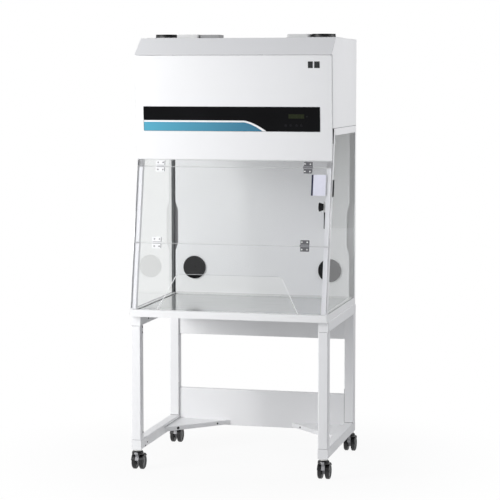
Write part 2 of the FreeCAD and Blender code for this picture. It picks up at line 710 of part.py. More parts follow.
def port_cover(x):
    """A turned plug for a duct port in the baffle, dished inside a raised rim."""
    face = FRONT + BAFFLE_DEPTH
    forward = Vector(0, -1, 0)
    radius = PORT_DIAMETER / 2
    centre = Vector(x, face, PORT_HEIGHT)
    cover = Part.makeCone(radius, radius - PORT_BEVEL, PORT_THICKNESS, centre, forward)
    dish = Part.makeCylinder(radius - PORT_RIM, PORT_DISH, centre + forward * (PORT_THICKNESS - PORT_DISH),
                             forward)
    knob = Part.makeCylinder(PORT_RIM, PORT_DISH, centre + forward * (PORT_THICKNESS - PORT_DISH), forward)
    return cover.cut(dish).fuse(knob).removeSplitter().Solids[0]


def glass_clip():
    """A clip that holds the left pane's front edge to the post."""
    middle = (CLIP_BOTTOM + CLIP_TOP) / 2
    rear_of_post = sash_y(middle) + POST_DEPTH / SASH_COS
    lean = SASH_SLOPE * (CLIP_TOP - middle)
    low, high = rear_of_post - lean, rear_of_post + lean
    outline = [(low - CLIP_WIDTH, CLIP_BOTTOM), (low + CLIP_WIDTH, CLIP_BOTTOM),
               (high + CLIP_WIDTH, CLIP_TOP), (high - CLIP_WIDTH, CLIP_TOP)]
    return along_x(outline, -HOOD_HALF - CLIP_THICKNESS, -HOOD_HALF).Solids[0]


def door_catch():
    """A block on the left post's front face that the closed door's side flange stops at."""
    gap = DOOR_FOLD + CATCH_GAP
    outline = [(door_y(CATCH_BOTTOM) + gap, CATCH_BOTTOM), (sash_y(CATCH_BOTTOM), CATCH_BOTTOM),
               (sash_y(CATCH_TOP), CATCH_TOP), (door_y(CATCH_TOP) + gap, CATCH_TOP)]
    return along_x(outline, -HOOD_HALF, -HOOD_HALF + CATCH_WIDTH).Solids[0]


def chamber_front_panel():
    """The sheet between the posts behind the door, folded back over the head's base ring."""
    bottom = UPPER_HINGE_HEIGHT + FLAP_EDGE_GAP
    outline = [(RING_FRONT, HEAD_BOTTOM), (sash_y(HEAD_BOTTOM), HEAD_BOTTOM), (sash_y(bottom), bottom)]
    return folded(outline, SHEET, BEND, -POST_INNER, POST_INNER).Solids[0]


def head_base_frame():
    """The ring under the filters, a channel open below, over the panes and the baffle."""
    rear = REAR - SHEET
    ring = box(-HOOD_HALF, HOOD_HALF, RING_FRONT, rear, RING_BOTTOM, HEAD_BOTTOM)
    ring = ring.cut(box(-HOOD_HALF + RING_WIDTH, HOOD_HALF - RING_WIDTH, RING_FRONT + RING_WIDTH,
                        rear - RING_WIDTH, RING_BOTTOM, HEAD_BOTTOM))
    hollow = box(-HOOD_HALF + SHEET, HOOD_HALF - SHEET, RING_FRONT + SHEET, rear - SHEET,
                 RING_BOTTOM + SHEET, HEAD_BOTTOM - SHEET)
    inner = RING_WIDTH - SHEET
    core = box(-HOOD_HALF + inner, HOOD_HALF - inner, RING_FRONT + inner, rear - inner,
               RING_BOTTOM, HEAD_BOTTOM)
    return ring.cut(hollow.cut(core)).Solids[0]


FLAP_FRONT = -(FLAP + FLAP_SEAT)
HINGE_AXIS = FLAP_FRONT - KNUCKLE_RADIUS


def rounded_at(shape, corners, radius):
    """Round the edges along Y that stand at the given (x, z) places."""
    edges = []
    for edge in shape.Edges:
        a, b = edge.Vertexes[0].Point, edge.Vertexes[-1].Point
        if abs(a.x - b.x) > NEAR or abs(a.z - b.z) > NEAR:
            continue
        if any(abs(a.x - x) < NEAR and abs(a.z - z) < NEAR for x, z in corners):
            edges.append(edge)
    return shape.makeFillet(radius, edges)


def sash_header():
    """The fixed clear strip that the upper hinges are screwed to."""
    strip = box(-FLAP_HALF_WIDTH, FLAP_HALF_WIDTH, FLAP_FRONT, 0,
                sash_t(UPPER_HINGE_HEIGHT) + FLAP_EDGE_GAP, sash_t(HEADER_TOP))
    return on_sash(strip).Solids[0]


def sash_upper_flap():
    flap = box(-FLAP_HALF_WIDTH, FLAP_HALF_WIDTH, FLAP_FRONT, FLAP_FRONT + FLAP,
               sash_t(LOWER_HINGE_HEIGHT) + FLAP_EDGE_GAP, sash_t(UPPER_HINGE_HEIGHT) - FLAP_EDGE_GAP)
    return on_sash(flap).Solids[0]


def sash_lower_flap():
    """The lower flap, with the arm opening cut up from its bottom edge."""
    half = FLAP_HALF_WIDTH
    bottom = SILL_GAP
    top = sash_t(LOWER_HINGE_HEIGHT) - FLAP_EDGE_GAP
    arm_top = sash_t(ARM_TOP)
    outline = [(-half, bottom), (-ARM_HALF_WIDTH_BOTTOM, bottom), (-ARM_HALF_WIDTH_TOP, arm_top),
               (ARM_HALF_WIDTH_TOP, arm_top), (ARM_HALF_WIDTH_BOTTOM, bottom), (half, bottom),
               (half, top), (-half, top)]
    flap = along_y(outline, FLAP_FRONT, FLAP_FRONT + FLAP)
    flap = rounded_at(flap, [(-ARM_HALF_WIDTH_TOP, arm_top), (ARM_HALF_WIDTH_TOP, arm_top)], ARM_CORNER)
    flap = rounded_at(flap, [(-half, bottom), (half, bottom)], FLAP_CORNER)
    return on_sash(flap).Solids[0]


def hinge_leaf(height, side, carries_pin):
    """One leaf, above (side 1) or below (side -1) the hinge line. The leaf with the pin has two
    outer knuckles, the other leaf has the middle one."""
    t = sash_t(height)
    half = HINGE_WIDTH / 2
    knuckle = half / KNUCKLES - HINGE_END_GAP / 2
    start = KNUCKLE_RADIUS + HINGE_END_GAP
    levels = sorted((t + side * start, t + side * HINGE_LEAF_HEIGHT))
    plate = rounded_slab(-half, half, FLAP_FRONT - HINGE_LEAF, FLAP_FRONT, levels[0], levels[1],
                         HINGE_LEAF_CORNER, Vector(0, 1, 0))
    spans = [(-half, -knuckle - HINGE_END_GAP), (knuckle + HINGE_END_GAP, half)]
    if not carries_pin:
        spans = [(-knuckle, knuckle)]
    parts = [plate]
    levels = sorted((t, t + side * (start + HINGE_LEAF_CORNER)))
    for x0, x1 in spans:
        barrel = rod(Vector(x0, HINGE_AXIS, t), Vector(1, 0, 0), KNUCKLE_RADIUS, x1 - x0)
        tongue = box(x0, x1, FLAP_FRONT - HINGE_LEAF, FLAP_FRONT, levels[0], levels[1])
        parts += [barrel, tongue]
    pin = rod(Vector(-half, HINGE_AXIS, t), Vector(1, 0, 0), HINGE_PIN_RADIUS, HINGE_WIDTH)
    if carries_pin:
        return fused(parts + [pin])
    bore = rod(Vector(-half, HINGE_AXIS, t), Vector(1, 0, 0), HINGE_PIN_RADIUS + HINGE_PLAY, HINGE_WIDTH)
    return fused(parts).cut(bore).Solids[0]


def hinge_pair(height, side, carries_pin):
    leaf = hinge_leaf(height, side, carries_pin)
    return [on_sash(moved(leaf, x)).Solids[0] for x in (-HINGE_X, HINGE_X)]


def sash():
    save("sash_header", [sash_header()])
    save("sash_upper_flap", [sash_upper_flap()])
    save("sash_lower_flap", [sash_lower_flap()])
    save("sash_hinge_fixed_leaves", hinge_pair(UPPER_HINGE_HEIGHT, 1, True))
    save("sash_hinge_middle_leaves", hinge_pair(UPPER_HINGE_HEIGHT, -1, False)
         + hinge_pair(LOWER_HINGE_HEIGHT, 1, True))
    save("sash_hinge_lower_leaves", hinge_pair(LOWER_HINGE_HEIGHT, -1, False))


def service_valve():
    """A valve on the right post's inner face: block, ribbed hose nozzle below, scalloped knob."""
    t = sash_t(VALVE_HEIGHT)
    y = VALVE_SETBACK
    face = POST_INNER - VALVE_BODY
    inwards = Vector(-1, 0, 0)
    block = rounded_slab(face, POST_INNER, y - VALVE_BODY_DEPTH / 2, y + VALVE_BODY_DEPTH / 2,
                         t - VALVE_BODY_HEIGHT / 2, t + VALVE_BODY_HEIGHT / 2, VALVE_BODY_CORNER, inwards)
    stem_bore = rod(Vector(face, y, t), inwards * -1, VALVE_STEM / 2 + VALVE_STEM_PLAY,
                    VALVE_STEM_DEPTH + RUNNING_GAP)
    save("valve_body", [on_sash(block.cut(stem_bore)).Solids[0]])

    back = Vector(face - RUNNING_GAP, y, t)
    knob = Part.makeCone(VALVE_KNOB_BACK / 2, VALVE_KNOB / 2, VALVE_KNOB_LENGTH, back, inwards)
    for i in range(VALVE_KNOB_SCALLOPS):
        angle = 2 * math.pi * i / VALVE_KNOB_SCALLOPS
        spot = back + Vector(0, math.cos(angle), math.sin(angle)) * (VALVE_KNOB / 2 + VALVE_SCALLOP_OUT)
        knob = knob.cut(rod(spot, inwards, VALVE_SCALLOP_RADIUS, VALVE_KNOB_LENGTH))
    stem = rod(back - inwards * (VALVE_STEM_DEPTH + RUNNING_GAP), inwards, VALVE_STEM / 2,
               VALVE_STEM_DEPTH + RUNNING_GAP + VALVE_KNOB_LENGTH / 2)
    save("valve_knob", [on_sash(fused([knob, stem])).Solids[0]])

    points = [(NOZZLE_BORE_RADIUS, 0), (NOZZLE_TOP_RADIUS, 0)]
    step = NOZZLE_LENGTH / 2 / NOZZLE_BARBS
    slope = (NOZZLE_TOP_RADIUS - NOZZLE_TIP_RADIUS) / NOZZLE_LENGTH
    for i in range(NOZZLE_BARBS):
        z = NOZZLE_LENGTH / 2 + i * step
        radius = NOZZLE_TOP_RADIUS - slope * z
        points += [(radius - NOZZLE_BARB, -z), (radius, -z), (radius - NOZZLE_BARB, -z - step)]
    points += [(NOZZLE_BORE_RADIUS, -NOZZLE_LENGTH)]
    wire = Part.makePolygon([Vector(r, 0, z) for r, z in points + points[:1]])
    nozzle = Part.Face(wire).revolve(Vector(0, 0, 0), Vector(0, 0, 1), 360)
    nozzle = moved(nozzle, POST_INNER - VALVE_BODY / 2, y, t - VALVE_BODY_HEIGHT / 2)
    save("valve_nozzle", [on_sash(nozzle).Solids[0]])


def chamber():
    save("base_frame", [base_frame()])
    save("work_tray", [work_tray()])
    post = front_post()
    save("front_post_left", [post])
    save("front_post_right", [mirrored(post)])
    pane = side_glass()
    save("side_glass_left", [pane])
    save("side_glass_right", [mirrored(pane)])
    save("rear_panel", [rear_panel()])
    save("rear_baffle", [rear_baffle()])
    save("port_covers", [port_cover(x) for x in (-PORT_X, PORT_X)])
    save("glass_clips", [glass_clip(), mirrored(glass_clip())])
    save("door_catches", [door_catch(), mirrored(door_catch())])
    save("chamber_front_panel", [chamber_front_panel()])
    save("head_base_frame", [head_base_frame()])


CHAMFER_SLOPE = (HOOD_TOP - CHAMFER_FOOT_HEIGHT) / (CHAMFER_TOP_DEPTH - CHAMFER_FOOT_DEPTH)
CHAMFER_SEAT = CHAMFER_FOOT_HEIGHT - (SHEET + ROOF_SEAT) * math.hypot(1, CHAMFER_SLOPE)


def chamfer_under(y):
    """Height of the chamfer sheet's underside, less its seat, above a place on the side panel."""
    return CHAMFER_SEAT + (y - FRONT - CHAMFER_FOOT_DEPTH) * CHAMFER_SLOPE


def chamfer_meets(z):
    """The place where that line crosses a height."""
    return FRONT + CHAMFER_FOOT_DEPTH + (z - CHAMFER_SEAT) / CHAMFER_SLOPE


def head_side():
    """The left side panel, folded in over the base ring and along its leaning front edge."""
    reach = DOOR_FOLD + SEAM
    top = HOOD_TOP - SHEET - ROOF_SEAT
    rear = REAR - SHEET
    ledge = DOOR_TOP + SEAM
    nose = door_y(ledge) + SEAM
    foot = door_y(HEAD_BOTTOM) + reach
    outline = [(foot, HEAD_BOTTOM), (rear, HEAD_BOTTOM), (rear, top), (chamfer_meets(top), top),
               (nose + SEAM, chamfer_under(nose + SEAM)), (nose + SEAM, ledge),
               (door_y(ledge) + reach, ledge)]
    left = -HOOD_HALF
    sheet = along_x(outline, left, left + SHEET)
    bottom_fold = box(left, left + HEAD_FOLD, RING_FRONT, rear, HEAD_BOTTOM, HEAD_BOTTOM + SHEET)
    fold_top = PIVOT_HEIGHT + HEAD_FOLD
    crown = door_y(fold_top) + reach
    front_outline = [(foot, HEAD_BOTTOM), (foot + SHEET, HEAD_BOTTOM), (crown + SHEET, fold_top),
                     (crown, fold_top)]
    front_fold = along_x(front_outline, left, left + HEAD_FOLD)
    return fused([sheet, bottom_fold, front_fold])


def head_roof():
    """The roof sheet with its front chamfer, cut out for the two fan collars."""
    outline = [(REAR, HOOD_TOP), (FRONT + CHAMFER_TOP_DEPTH, HOOD_TOP),
               (FRONT + CHAMFER_FOOT_DEPTH, CHAMFER_FOOT_HEIGHT)]
    roof = folded(outline, SHEET, BEND, -HOOD_HALF, HOOD_HALF)
    for x in (-FAN_X, FAN_X):
        hole = rod(Vector(x, FRONT + FAN_DEPTH, HOOD_TOP - HEAD_FOLD), Vector(0, 0, 1),
                   FAN_DIAMETER / 2 + FAN_HOLE_CLEARANCE, 2 * HEAD_FOLD)
        roof = roof.cut(hole)
    return roof.Solids[0]


def front_door():
    """The swing-up door: a front sheet with a rolled bottom edge and tapering side flanges."""
    low, high = DOOR_BOTTOM, DOOR_TOP
    lip = door_y(low) + DOOR_BOTTOM_FOLD
    bend = DOOR_BOTTOM_RADIUS - SHEET
    outline = [(door_y(high), high), (door_y(low), low), (lip, low)]
    sheet = folded(outline, SHEET, bend, -DOOR_HALF_WIDTH, DOOR_HALF_WIDTH)
    flange_outline = [(door_y(high), high), (door_y(low + DOOR_BOTTOM_RADIUS), low + DOOR_BOTTOM_RADIUS),
                      (door_y(low) + DOOR_BOTTOM_RADIUS, low), (lip, low),
                      (door_y(DOOR_TAPER_TOP) + DOOR_FOLD, DOOR_TAPER_TOP), (door_y(high) + DOOR_FOLD, high)]
    flange = along_x(flange_outline, -DOOR_HALF_WIDTH, -DOOR_HALF_WIDTH + SHEET)
    door = fused([sheet, flange, mirrored(flange)])
    bore = rod(Vector(-WIDTH, FRONT + PIVOT_DEPTH, PIVOT_HEIGHT), Vector(1, 0, 0),
               PIVOT_RADIUS + PIVOT_PLAY, 2 * WIDTH)
    door = door.cut(bore)
    window = on_door(box(*board_box_span(-BOARD_BOX_WALL), -DOOR_FOLD, DOOR_FOLD,
                         *board_box_rise(-BOARD_BOX_WALL)))
    return door.cut(window).Solids[0]


def door_pivot():
    """A bracket inside the left front corner, with the pin that the door turns on."""
    inner = DOOR_HALF_WIDTH - SHEET - PIVOT_PLATE_GAP
    plate_left = -inner
    plate_right = plate_left + PIVOT_PLATE
    y, z = FRONT + PIVOT_DEPTH, PIVOT_HEIGHT
    seat = door_y(z) + DOOR_FOLD + SEAM
    sideways = Vector(1, 0, 0)
    nose = Part.makeCylinder(PIVOT_NOSE, PIVOT_PLATE, Vector(plate_left, y, z), sideways)
    low, high = z - PIVOT_NOSE, z + PIVOT_NOSE
    arm = along_x([(y, low), (door_y(low) + DOOR_FOLD + SEAM, low), (door_y(high) + DOOR_FOLD + SEAM, high),
                   (y, high)], plate_left, plate_right)
    pin = rod(Vector(-DOOR_HALF_WIDTH, y, z), sideways, PIVOT_RADIUS, DOOR_HALF_WIDTH + plate_right)
    foot_low, foot_high = z - PIVOT_FOOT / 2, z + PIVOT_NOSE
    foot = along_x([(door_y(foot_low) + seat - door_y(z) - SHEET, foot_low),
                    (door_y(foot_low) + seat - door_y(z), foot_low),
                    (door_y(foot_high) + seat - door_y(z), foot_high),
                    (door_y(foot_high) + seat - door_y(z) - SHEET, foot_high)],
                   plate_left, -HOOD_HALF + HEAD_FOLD)
    return fused([nose, arm, foot, pin])


def board_box_span(margin):
    """Left and right of the housing behind the display and buttons, grown by a margin."""
    left = BUTTON_PLACES[0] - BUTTON_FLANGE / 2 - BOARD_BOX_MARGIN
    return left - margin, DISPLAY_CENTRE + DISPLAY_WIDTH / 2 + BOARD_BOX_MARGIN + margin


def board_box_rise(margin):
    return (BUTTON_HEIGHT - BOARD_BOX_MARGIN - margin,
            DISPLAY_CENTRE_HEIGHT + DISPLAY_HEIGHT / 2 + BOARD_BOX_MARGIN + margin)


def control_panel():
    """The dark strip on the door, cut out for the display and the four buttons."""
    panel = rounded_slab(PANEL_LEFT, PANEL_RIGHT, -PANEL_THICKNESS, 0, PANEL_BOTTOM, PANEL_TOP, PANEL_CORNER,
                         Vector(0, 1, 0))
    half_x, half_z = DISPLAY_WIDTH / 2, DISPLAY_HEIGHT / 2
    panel = panel.cut(box(DISPLAY_CENTRE - half_x, DISPLAY_CENTRE + half_x, -PANEL_THICKNESS, 0,
                          DISPLAY_CENTRE_HEIGHT - half_z, DISPLAY_CENTRE_HEIGHT + half_z))
    for x in BUTTON_PLACES:
        panel = panel.cut(rod(Vector(x, -PANEL_THICKNESS, BUTTON_HEIGHT), Vector(0, 1, 0),
                              BUTTON_DIAMETER / 2 + BUTTON_PLAY, PANEL_THICKNESS))
    return on_door(panel).Solids[0]


def display_window():
    """The display's clear window, seated in the panel, with a rim behind it."""
    half_x, half_z = DISPLAY_WIDTH / 2, DISPLAY_HEIGHT / 2
    face = box(DISPLAY_CENTRE - half_x, DISPLAY_CENTRE + half_x, -PANEL_THICKNESS - DISPLAY_PROUD, 0,
               DISPLAY_CENTRE_HEIGHT - half_z, DISPLAY_CENTRE_HEIGHT + half_z)
    rim_x, rim_z = half_x + DISPLAY_RIM, half_z + DISPLAY_RIM
    rim = box(DISPLAY_CENTRE - rim_x, DISPLAY_CENTRE + rim_x, 0, DISPLAY_RIM_DEPTH,
              DISPLAY_CENTRE_HEIGHT - rim_z, DISPLAY_CENTRE_HEIGHT + rim_z)
    return on_door(fused([face, rim])).Solids[0]


def button(x):
    """A round button with a stop flange behind the panel and a plunger over the board."""
    inwards = Vector(0, 1, 0)
    front = -PANEL_THICKNESS - BUTTON_PROUD
    cap = rod(Vector(x, front, BUTTON_HEIGHT), inwards, BUTTON_DIAMETER / 2, -front)
    rim = [e for e in cap.Edges if abs(e.BoundBox.YMax - front) < NEAR and e.Closed]
    cap = cap.makeFillet(BUTTON_PROUD / 2, rim)
    flange = rod(Vector(x, 0, BUTTON_HEIGHT), inwards, BUTTON_FLANGE / 2, BUTTON_FLANGE_THICKNESS)
    plunger = rod(Vector(x, 0, BUTTON_HEIGHT), inwards, BUTTON_PLUNGER / 2,
                  BOARD_DEPTH - BUTTON_TRAVEL - BUTTON_PLAY)
    return on_door(fused([cap, flange, plunger])).Solids[0]


def control_board():
    """The housing on the door's inner face, with the circuit board that the buttons press on."""
    x0, x1 = board_box_span(0)
    z0, z1 = board_box_rise(0)
    wall = BOARD_BOX_WALL
    case = box(x0, x1, SHEET, BOARD_BOX_DEPTH, z0, z1)
    case = case.cut(box(x0 + wall, x1 - wall, SHEET, BOARD_BOX_DEPTH - wall, z0 + wall, z1 - wall))
    board = box(x0 + wall, x1 - wall, BOARD_DEPTH, BOARD_DEPTH + BOARD, z0 + wall, z1 - wall)
    lip = box(x0 - wall, x1 + wall, SHEET, SHEET + wall, z0 - wall, z1 + wall)
    lip = lip.cut(box(x0, x1, SHEET, SHEET + wall, z0, z1))
    return on_door(fused([case, board, lip])).Solids[0]


def front_of_head():
    save("front_door", [front_door()])
    pivot = door_pivot()
    save("door_pivots", [pivot, mirrored(pivot)])
    save("control_panel", [control_panel()])
    save("display_window", [display_window()])
    save("control_board", [control_board()])
    for number, x in enumerate(BUTTON_PLACES, start=1):
        save("button_" + str(number), [button(x)])


def filter_footprint():
    """Left, right, front and rear of both filters, which seat on the ring's inner edge."""
    inset = RING_WIDTH - FILTER_MARGIN
    return (-HOOD_HALF + inset, HOOD_HALF - inset, RING_FRONT + inset, REAR - SHEET - inset)


def prefilter():
    """A frame around a pleated pad."""
    x0, x1, y0, y1 = filter_footprint()
    low = HEAD_BOTTOM
    high = low + PREFILTER_HEIGHT
    rim = FILTER_MARGIN
    frame = box(x0, x1, y0, y1, low, high)
    frame = frame.cut(box(x0 + rim, x1 - rim, y0 + rim, y1 - rim, low, high))
    count = int((x1 - x0 - 2 * rim) / PLEAT_PITCH)
    pitch = (x1 - x0 - 2 * rim) / count
    base = low + PREFILTER_HEIGHT / 2 - PLEAT_DEPTH / 2
    under = [(x0 + rim + pitch * i / 2, base + (PLEAT_DEPTH if i % 2 else 0)) for i in range(2 * count + 1)]
    over = [(x, z + PLEAT_THICKNESS) for x, z in reversed(under)]
    pleats = along_y(under + over, y0 + rim, y1 - rim)
    return fused([frame, pleats])


def carbon_filter():
    """A cased carbon bed with recessed upper and lower faces and two grips on its front."""
    x0, x1, y0, y1 = filter_footprint()
    low = HEAD_BOTTOM + PREFILTER_HEIGHT
    high = low + FILTER_HEIGHT
    rim = FILTER_MARGIN
    case = box(x0, x1, y0, y1, low, high)
    for z0, z1 in ((low, low + rim), (high - rim, high)):
        case = case.cut(box(x0 + rim, x1 - rim, y0 + rim, y1 - rim, z0, z1))
    middle = (low + high) / 2
    for x in (-FAN_X, FAN_X):
        bar = box(x - FILTER_HANDLE / 2, x + FILTER_HANDLE / 2, y0 - HANDLE_REACH, y0, middle - HANDLE_BAR,
                  middle + HANDLE_BAR)
        gap = box(x - FILTER_HANDLE / 2 + HANDLE_BAR, x + FILTER_HANDLE / 2 - HANDLE_BAR,
                  y0 - HANDLE_REACH + HANDLE_BAR, y0, middle - HANDLE_BAR, middle + HANDLE_BAR)
        case = case.fuse(bar.cut(gap))
    return case.removeSplitter().Solids[0]


def fan_housing():
    """The right fan's casting: a collar through the roof with a flange below it and a plate above,
    four arms that carry the motor, and a rounded box for its connections beside the outlet."""
    up = Vector(0, 0, 1)
    radius = FAN_DIAMETER / 2
    low = FAN_TOP - FAN_HOUSING_HEIGHT
    flange_z = HOOD_TOP - SHEET - FAN_FLANGE_THICKNESS
    inner = EXHAUST_INNER - FAN_X
    outer = inner + EXHAUST_PLATE
    plate = box(inner, outer, -EXHAUST_PLATE_DEPTH / 2, EXHAUST_PLATE_DEPTH / 2, HOOD_TOP,
                HOOD_TOP + EXHAUST_PLATE_THICKNESS)
    case = rounded_slab(inner, inner + EXHAUST_BOX, -EXHAUST_BOX_DEPTH / 2, EXHAUST_BOX_DEPTH / 2, HOOD_TOP,
                        HOOD_TOP + EXHAUST_BOX_RISE, EXHAUST_BOX_CORNER, up)
    parts = [rod(Vector(0, 0, low), up, radius, FAN_HOUSING_HEIGHT), plate, case,
             rod(Vector(0, 0, flange_z), up, FAN_FLANGE / 2, FAN_FLANGE_THICKNESS)]
    collar = fused(parts).cut(rod(Vector(0, 0, low), up, radius - FAN_WALL, FAN_HOUSING_HEIGHT))
    motor = rod(Vector(0, 0, low), up, MOTOR_DIAMETER / 2, MOTOR_HEIGHT)
    shaft = rod(Vector(0, 0, low + MOTOR_HEIGHT), up, MOTOR_SHAFT / 2, MOTOR_SHAFT_LENGTH)
    parts = [collar, motor, shaft]
    for angle in range(0, 360, 90):
        arm = box(MOTOR_DIAMETER / 2 - FAN_WALL, radius - FAN_WALL / 2, -MOTOR_ARM / 2, MOTOR_ARM / 2, low,
                  low + MOTOR_ARM)
        parts.append(arm.rotated(Vector(0, 0, 0), up, angle))
    return fused(parts)


def fan_impeller():
    """A cup over the motor's shaft with pitched, tapering blades."""
    up = Vector(0, 0, 1)
    low = FAN_TOP - FAN_HOUSING_HEIGHT + MOTOR_HEIGHT + RUNNING_GAP
    hub = rod(Vector(0, 0, low), up, IMPELLER_HUB / 2, IMPELLER_HEIGHT)
    top_edge = [e for e in hub.Edges if e.BoundBox.ZMin > low + IMPELLER_HEIGHT - NEAR and e.Closed]
    hub = hub.makeFillet(IMPELLER_ROUND, top_edge)
    middle = low + IMPELLER_HEIGHT / 2
    root = IMPELLER_HUB / 2 - FAN_WALL
    tip = FAN_DIAMETER / 2 - FAN_WALL - IMPELLER_TIP_GAP
    parts = [hub]
    for i in range(IMPELLER_BLADES):
        sections = []
        for radius, chord, pitch in ((root, IMPELLER_ROOT_CHORD, IMPELLER_PITCH),
                                     (tip, IMPELLER_TIP_CHORD, IMPELLER_PITCH - IMPELLER_TWIST)):
            a = math.radians(pitch)
            along = Vector(0, math.cos(a), math.sin(a))
            across = Vector(0, -math.sin(a), math.cos(a))
            corners = []
            for u, v in ((-1, -1), (1, -1), (1, 1), (-1, 1)):
                corners.append(Vector(radius, 0, middle) + along * (u * chord / 2)
                               + across * (v * IMPELLER_BLADE / 2))
            sections.append(Part.makePolygon(corners + corners[:1]))
        blade = Part.makeLoft(sections, True, True)
        parts.append(blade.rotated(Vector(0, 0, 0), up, 360 * i / IMPELLER_BLADES))
    body = fused(parts)
    bore = rod(Vector(0, 0, low), up, MOTOR_SHAFT / 2 + SHAFT_PLAY, MOTOR_SHAFT_LENGTH)
    return body.cut(bore).Solids[0]


def exhaust_guard():
    """A wire guard on the collar: concentric rings over crossed spokes, with a centre disc."""
    up = Vector(0, 0, 1)
    outer = FAN_DIAMETER / 2
    pitch = (outer - GUARD_DISC / 2) / GUARD_RINGS
    parts = [rod(Vector(0, 0, FAN_TOP), up, GUARD_DISC / 2, 2 * GUARD_WIRE)]
    for i in range(GUARD_RINGS):
        radius = outer - pitch * i
        ring = rod(Vector(0, 0, FAN_TOP + GUARD_WIRE), up, radius, GUARD_WIRE)
        parts.append(ring.cut(rod(Vector(0, 0, FAN_TOP + GUARD_WIRE), up, radius - GUARD_WIRE, GUARD_WIRE)))
    for i in range(GUARD_SPOKES):
        spoke = box(-outer + GUARD_WIRE / 2, outer - GUARD_WIRE / 2, -GUARD_WIRE / 2, GUARD_WIRE / 2, FAN_TOP,
                    FAN_TOP + GUARD_WIRE)
        parts.append(spoke.rotated(Vector(0, 0, 0), up, 180 * i / GUARD_SPOKES + GUARD_TURN))
    return fused(parts)


def roof_terminal_box():
    """A flat junction box on the roof beside the left fan, with a mains inlet in its rear face."""
    x0 = TERMINAL_BOX_LEFT
    y0 = FRONT + FAN_DEPTH - TERMINAL_BOX_DEPTH / 2
    x1, y1 = x0 + TERMINAL_BOX_WIDTH, y0 + TERMINAL_BOX_DEPTH
    case = rounded_slab(x0, x1, y0, y1, HOOD_TOP, HOOD_TOP + TERMINAL_BOX_HEIGHT, TERMINAL_BOX_CORNER,
                        Vector(0, 0, 1))
    middle = (x0 + x1) / 2
    z = HOOD_TOP + TERMINAL_BOX_HEIGHT / 2
    socket = box(middle - INLET_WIDTH / 2, middle + INLET_WIDTH / 2, y1 - INLET_DEPTH, y1,
                 z - INLET_HEIGHT / 2, z + INLET_HEIGHT / 2)
    case = case.cut(socket)
    for dx in (-INLET_PIN_PITCH, 0, INLET_PIN_PITCH):
        case = case.fuse(box(middle + dx - INLET_PIN / 2, middle + dx + INLET_PIN / 2, y1 - INLET_DEPTH,
                             y1 - INLET_PIN, z - INLET_PIN, z + INLET_PIN))
    return case.removeSplitter().Solids[0]


def head():
    side = head_side()
    save("head_side_left", [side])
    save("head_side_right", [mirrored(side)])
    save("head_roof", [head_roof()])
    save("prefilter", [prefilter()])
    save("carbon_filter", [carbon_filter()])
    places = {"left": -FAN_X, "right": FAN_X}
    y = FRONT + FAN_DEPTH
    housing = moved(fan_housing(), FAN_X, y)
    save("fan_housings", [mirrored(housing), housing])
    save("exhaust_guards", [moved(exhaust_guard(), x, y) for x in places.values()])
    for name, x in places.items():
        save("fan_impeller_" + name, [moved(fan_impeller(), x, y)])
    save("roof_terminal_box", [roof_terminal_box()])


stand()
casters()
chamber()
sash()
service_valve()
front_of_head()
head()
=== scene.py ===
import json
import math

import bmesh
import bpy
from mathutils import Matrix, Vector


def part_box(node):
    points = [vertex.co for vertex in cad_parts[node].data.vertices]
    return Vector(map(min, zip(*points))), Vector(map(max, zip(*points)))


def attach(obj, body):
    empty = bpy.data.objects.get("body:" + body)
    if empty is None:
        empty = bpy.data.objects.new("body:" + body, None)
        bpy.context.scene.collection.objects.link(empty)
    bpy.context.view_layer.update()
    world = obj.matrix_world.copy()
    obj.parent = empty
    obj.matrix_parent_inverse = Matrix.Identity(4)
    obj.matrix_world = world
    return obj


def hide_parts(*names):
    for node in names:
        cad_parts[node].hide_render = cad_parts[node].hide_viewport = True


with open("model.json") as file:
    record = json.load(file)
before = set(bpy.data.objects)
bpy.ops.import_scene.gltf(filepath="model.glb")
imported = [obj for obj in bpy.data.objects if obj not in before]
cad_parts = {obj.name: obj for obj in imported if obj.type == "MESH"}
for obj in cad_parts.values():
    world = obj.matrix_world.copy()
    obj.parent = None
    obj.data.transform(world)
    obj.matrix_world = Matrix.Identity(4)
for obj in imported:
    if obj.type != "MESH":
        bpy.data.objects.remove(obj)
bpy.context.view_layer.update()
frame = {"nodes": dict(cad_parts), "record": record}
NODES = frame["nodes"]

# Places of the construction that the dressing lines up with, in metres
FRONT = -0.375
BASE_TOP = 0.816
STAND_HALF = 0.5
LEG_INNER = 0.45
CASTER_X = 0.475
HOOD_HALF = 0.496
HEAD_BOTTOM = 1.713
RING_FRONT = -0.193
SHEET = 0.0012

SASH_SLOPE = 0.188
SASH_FOOT = FRONT - 0.018
SASH_START = 0.820
SASH_LEAN = math.atan(SASH_SLOPE)
FLAP_FACE = -0.0053
FLAP_REACH = 0.4895

HINGE_X = 0.374
HINGE_HALF = 0.0235
HINGE_FACE = FLAP_FACE - 0.0015
UPPER_HINGE = 1.521
LOWER_HINGE = 1.145

DOOR_SLOPE = 0.0705
DOOR_LEAN = math.atan(DOOR_SLOPE)
DOOR_REFERENCE = 1.728
DOOR_EDGE_HEIGHT = 2.070
DOOR_EDGE_DEPTH = 0.071
DOOR_FACE = FRONT + DOOR_EDGE_DEPTH + DOOR_SLOPE * (DOOR_EDGE_HEIGHT - DOOR_REFERENCE)
PANEL_FACE = -0.0015
PANEL_LEFT = -0.453
PANEL_BOTTOM = 1.697

FAN_X = 0.403
FAN_Y = -0.030
FAN_RING = 0.066
ROOF_PLATE_TOP = 2.1585

# The paint of the hood and the stand
PAINT = (0.885, 0.885, 0.89)

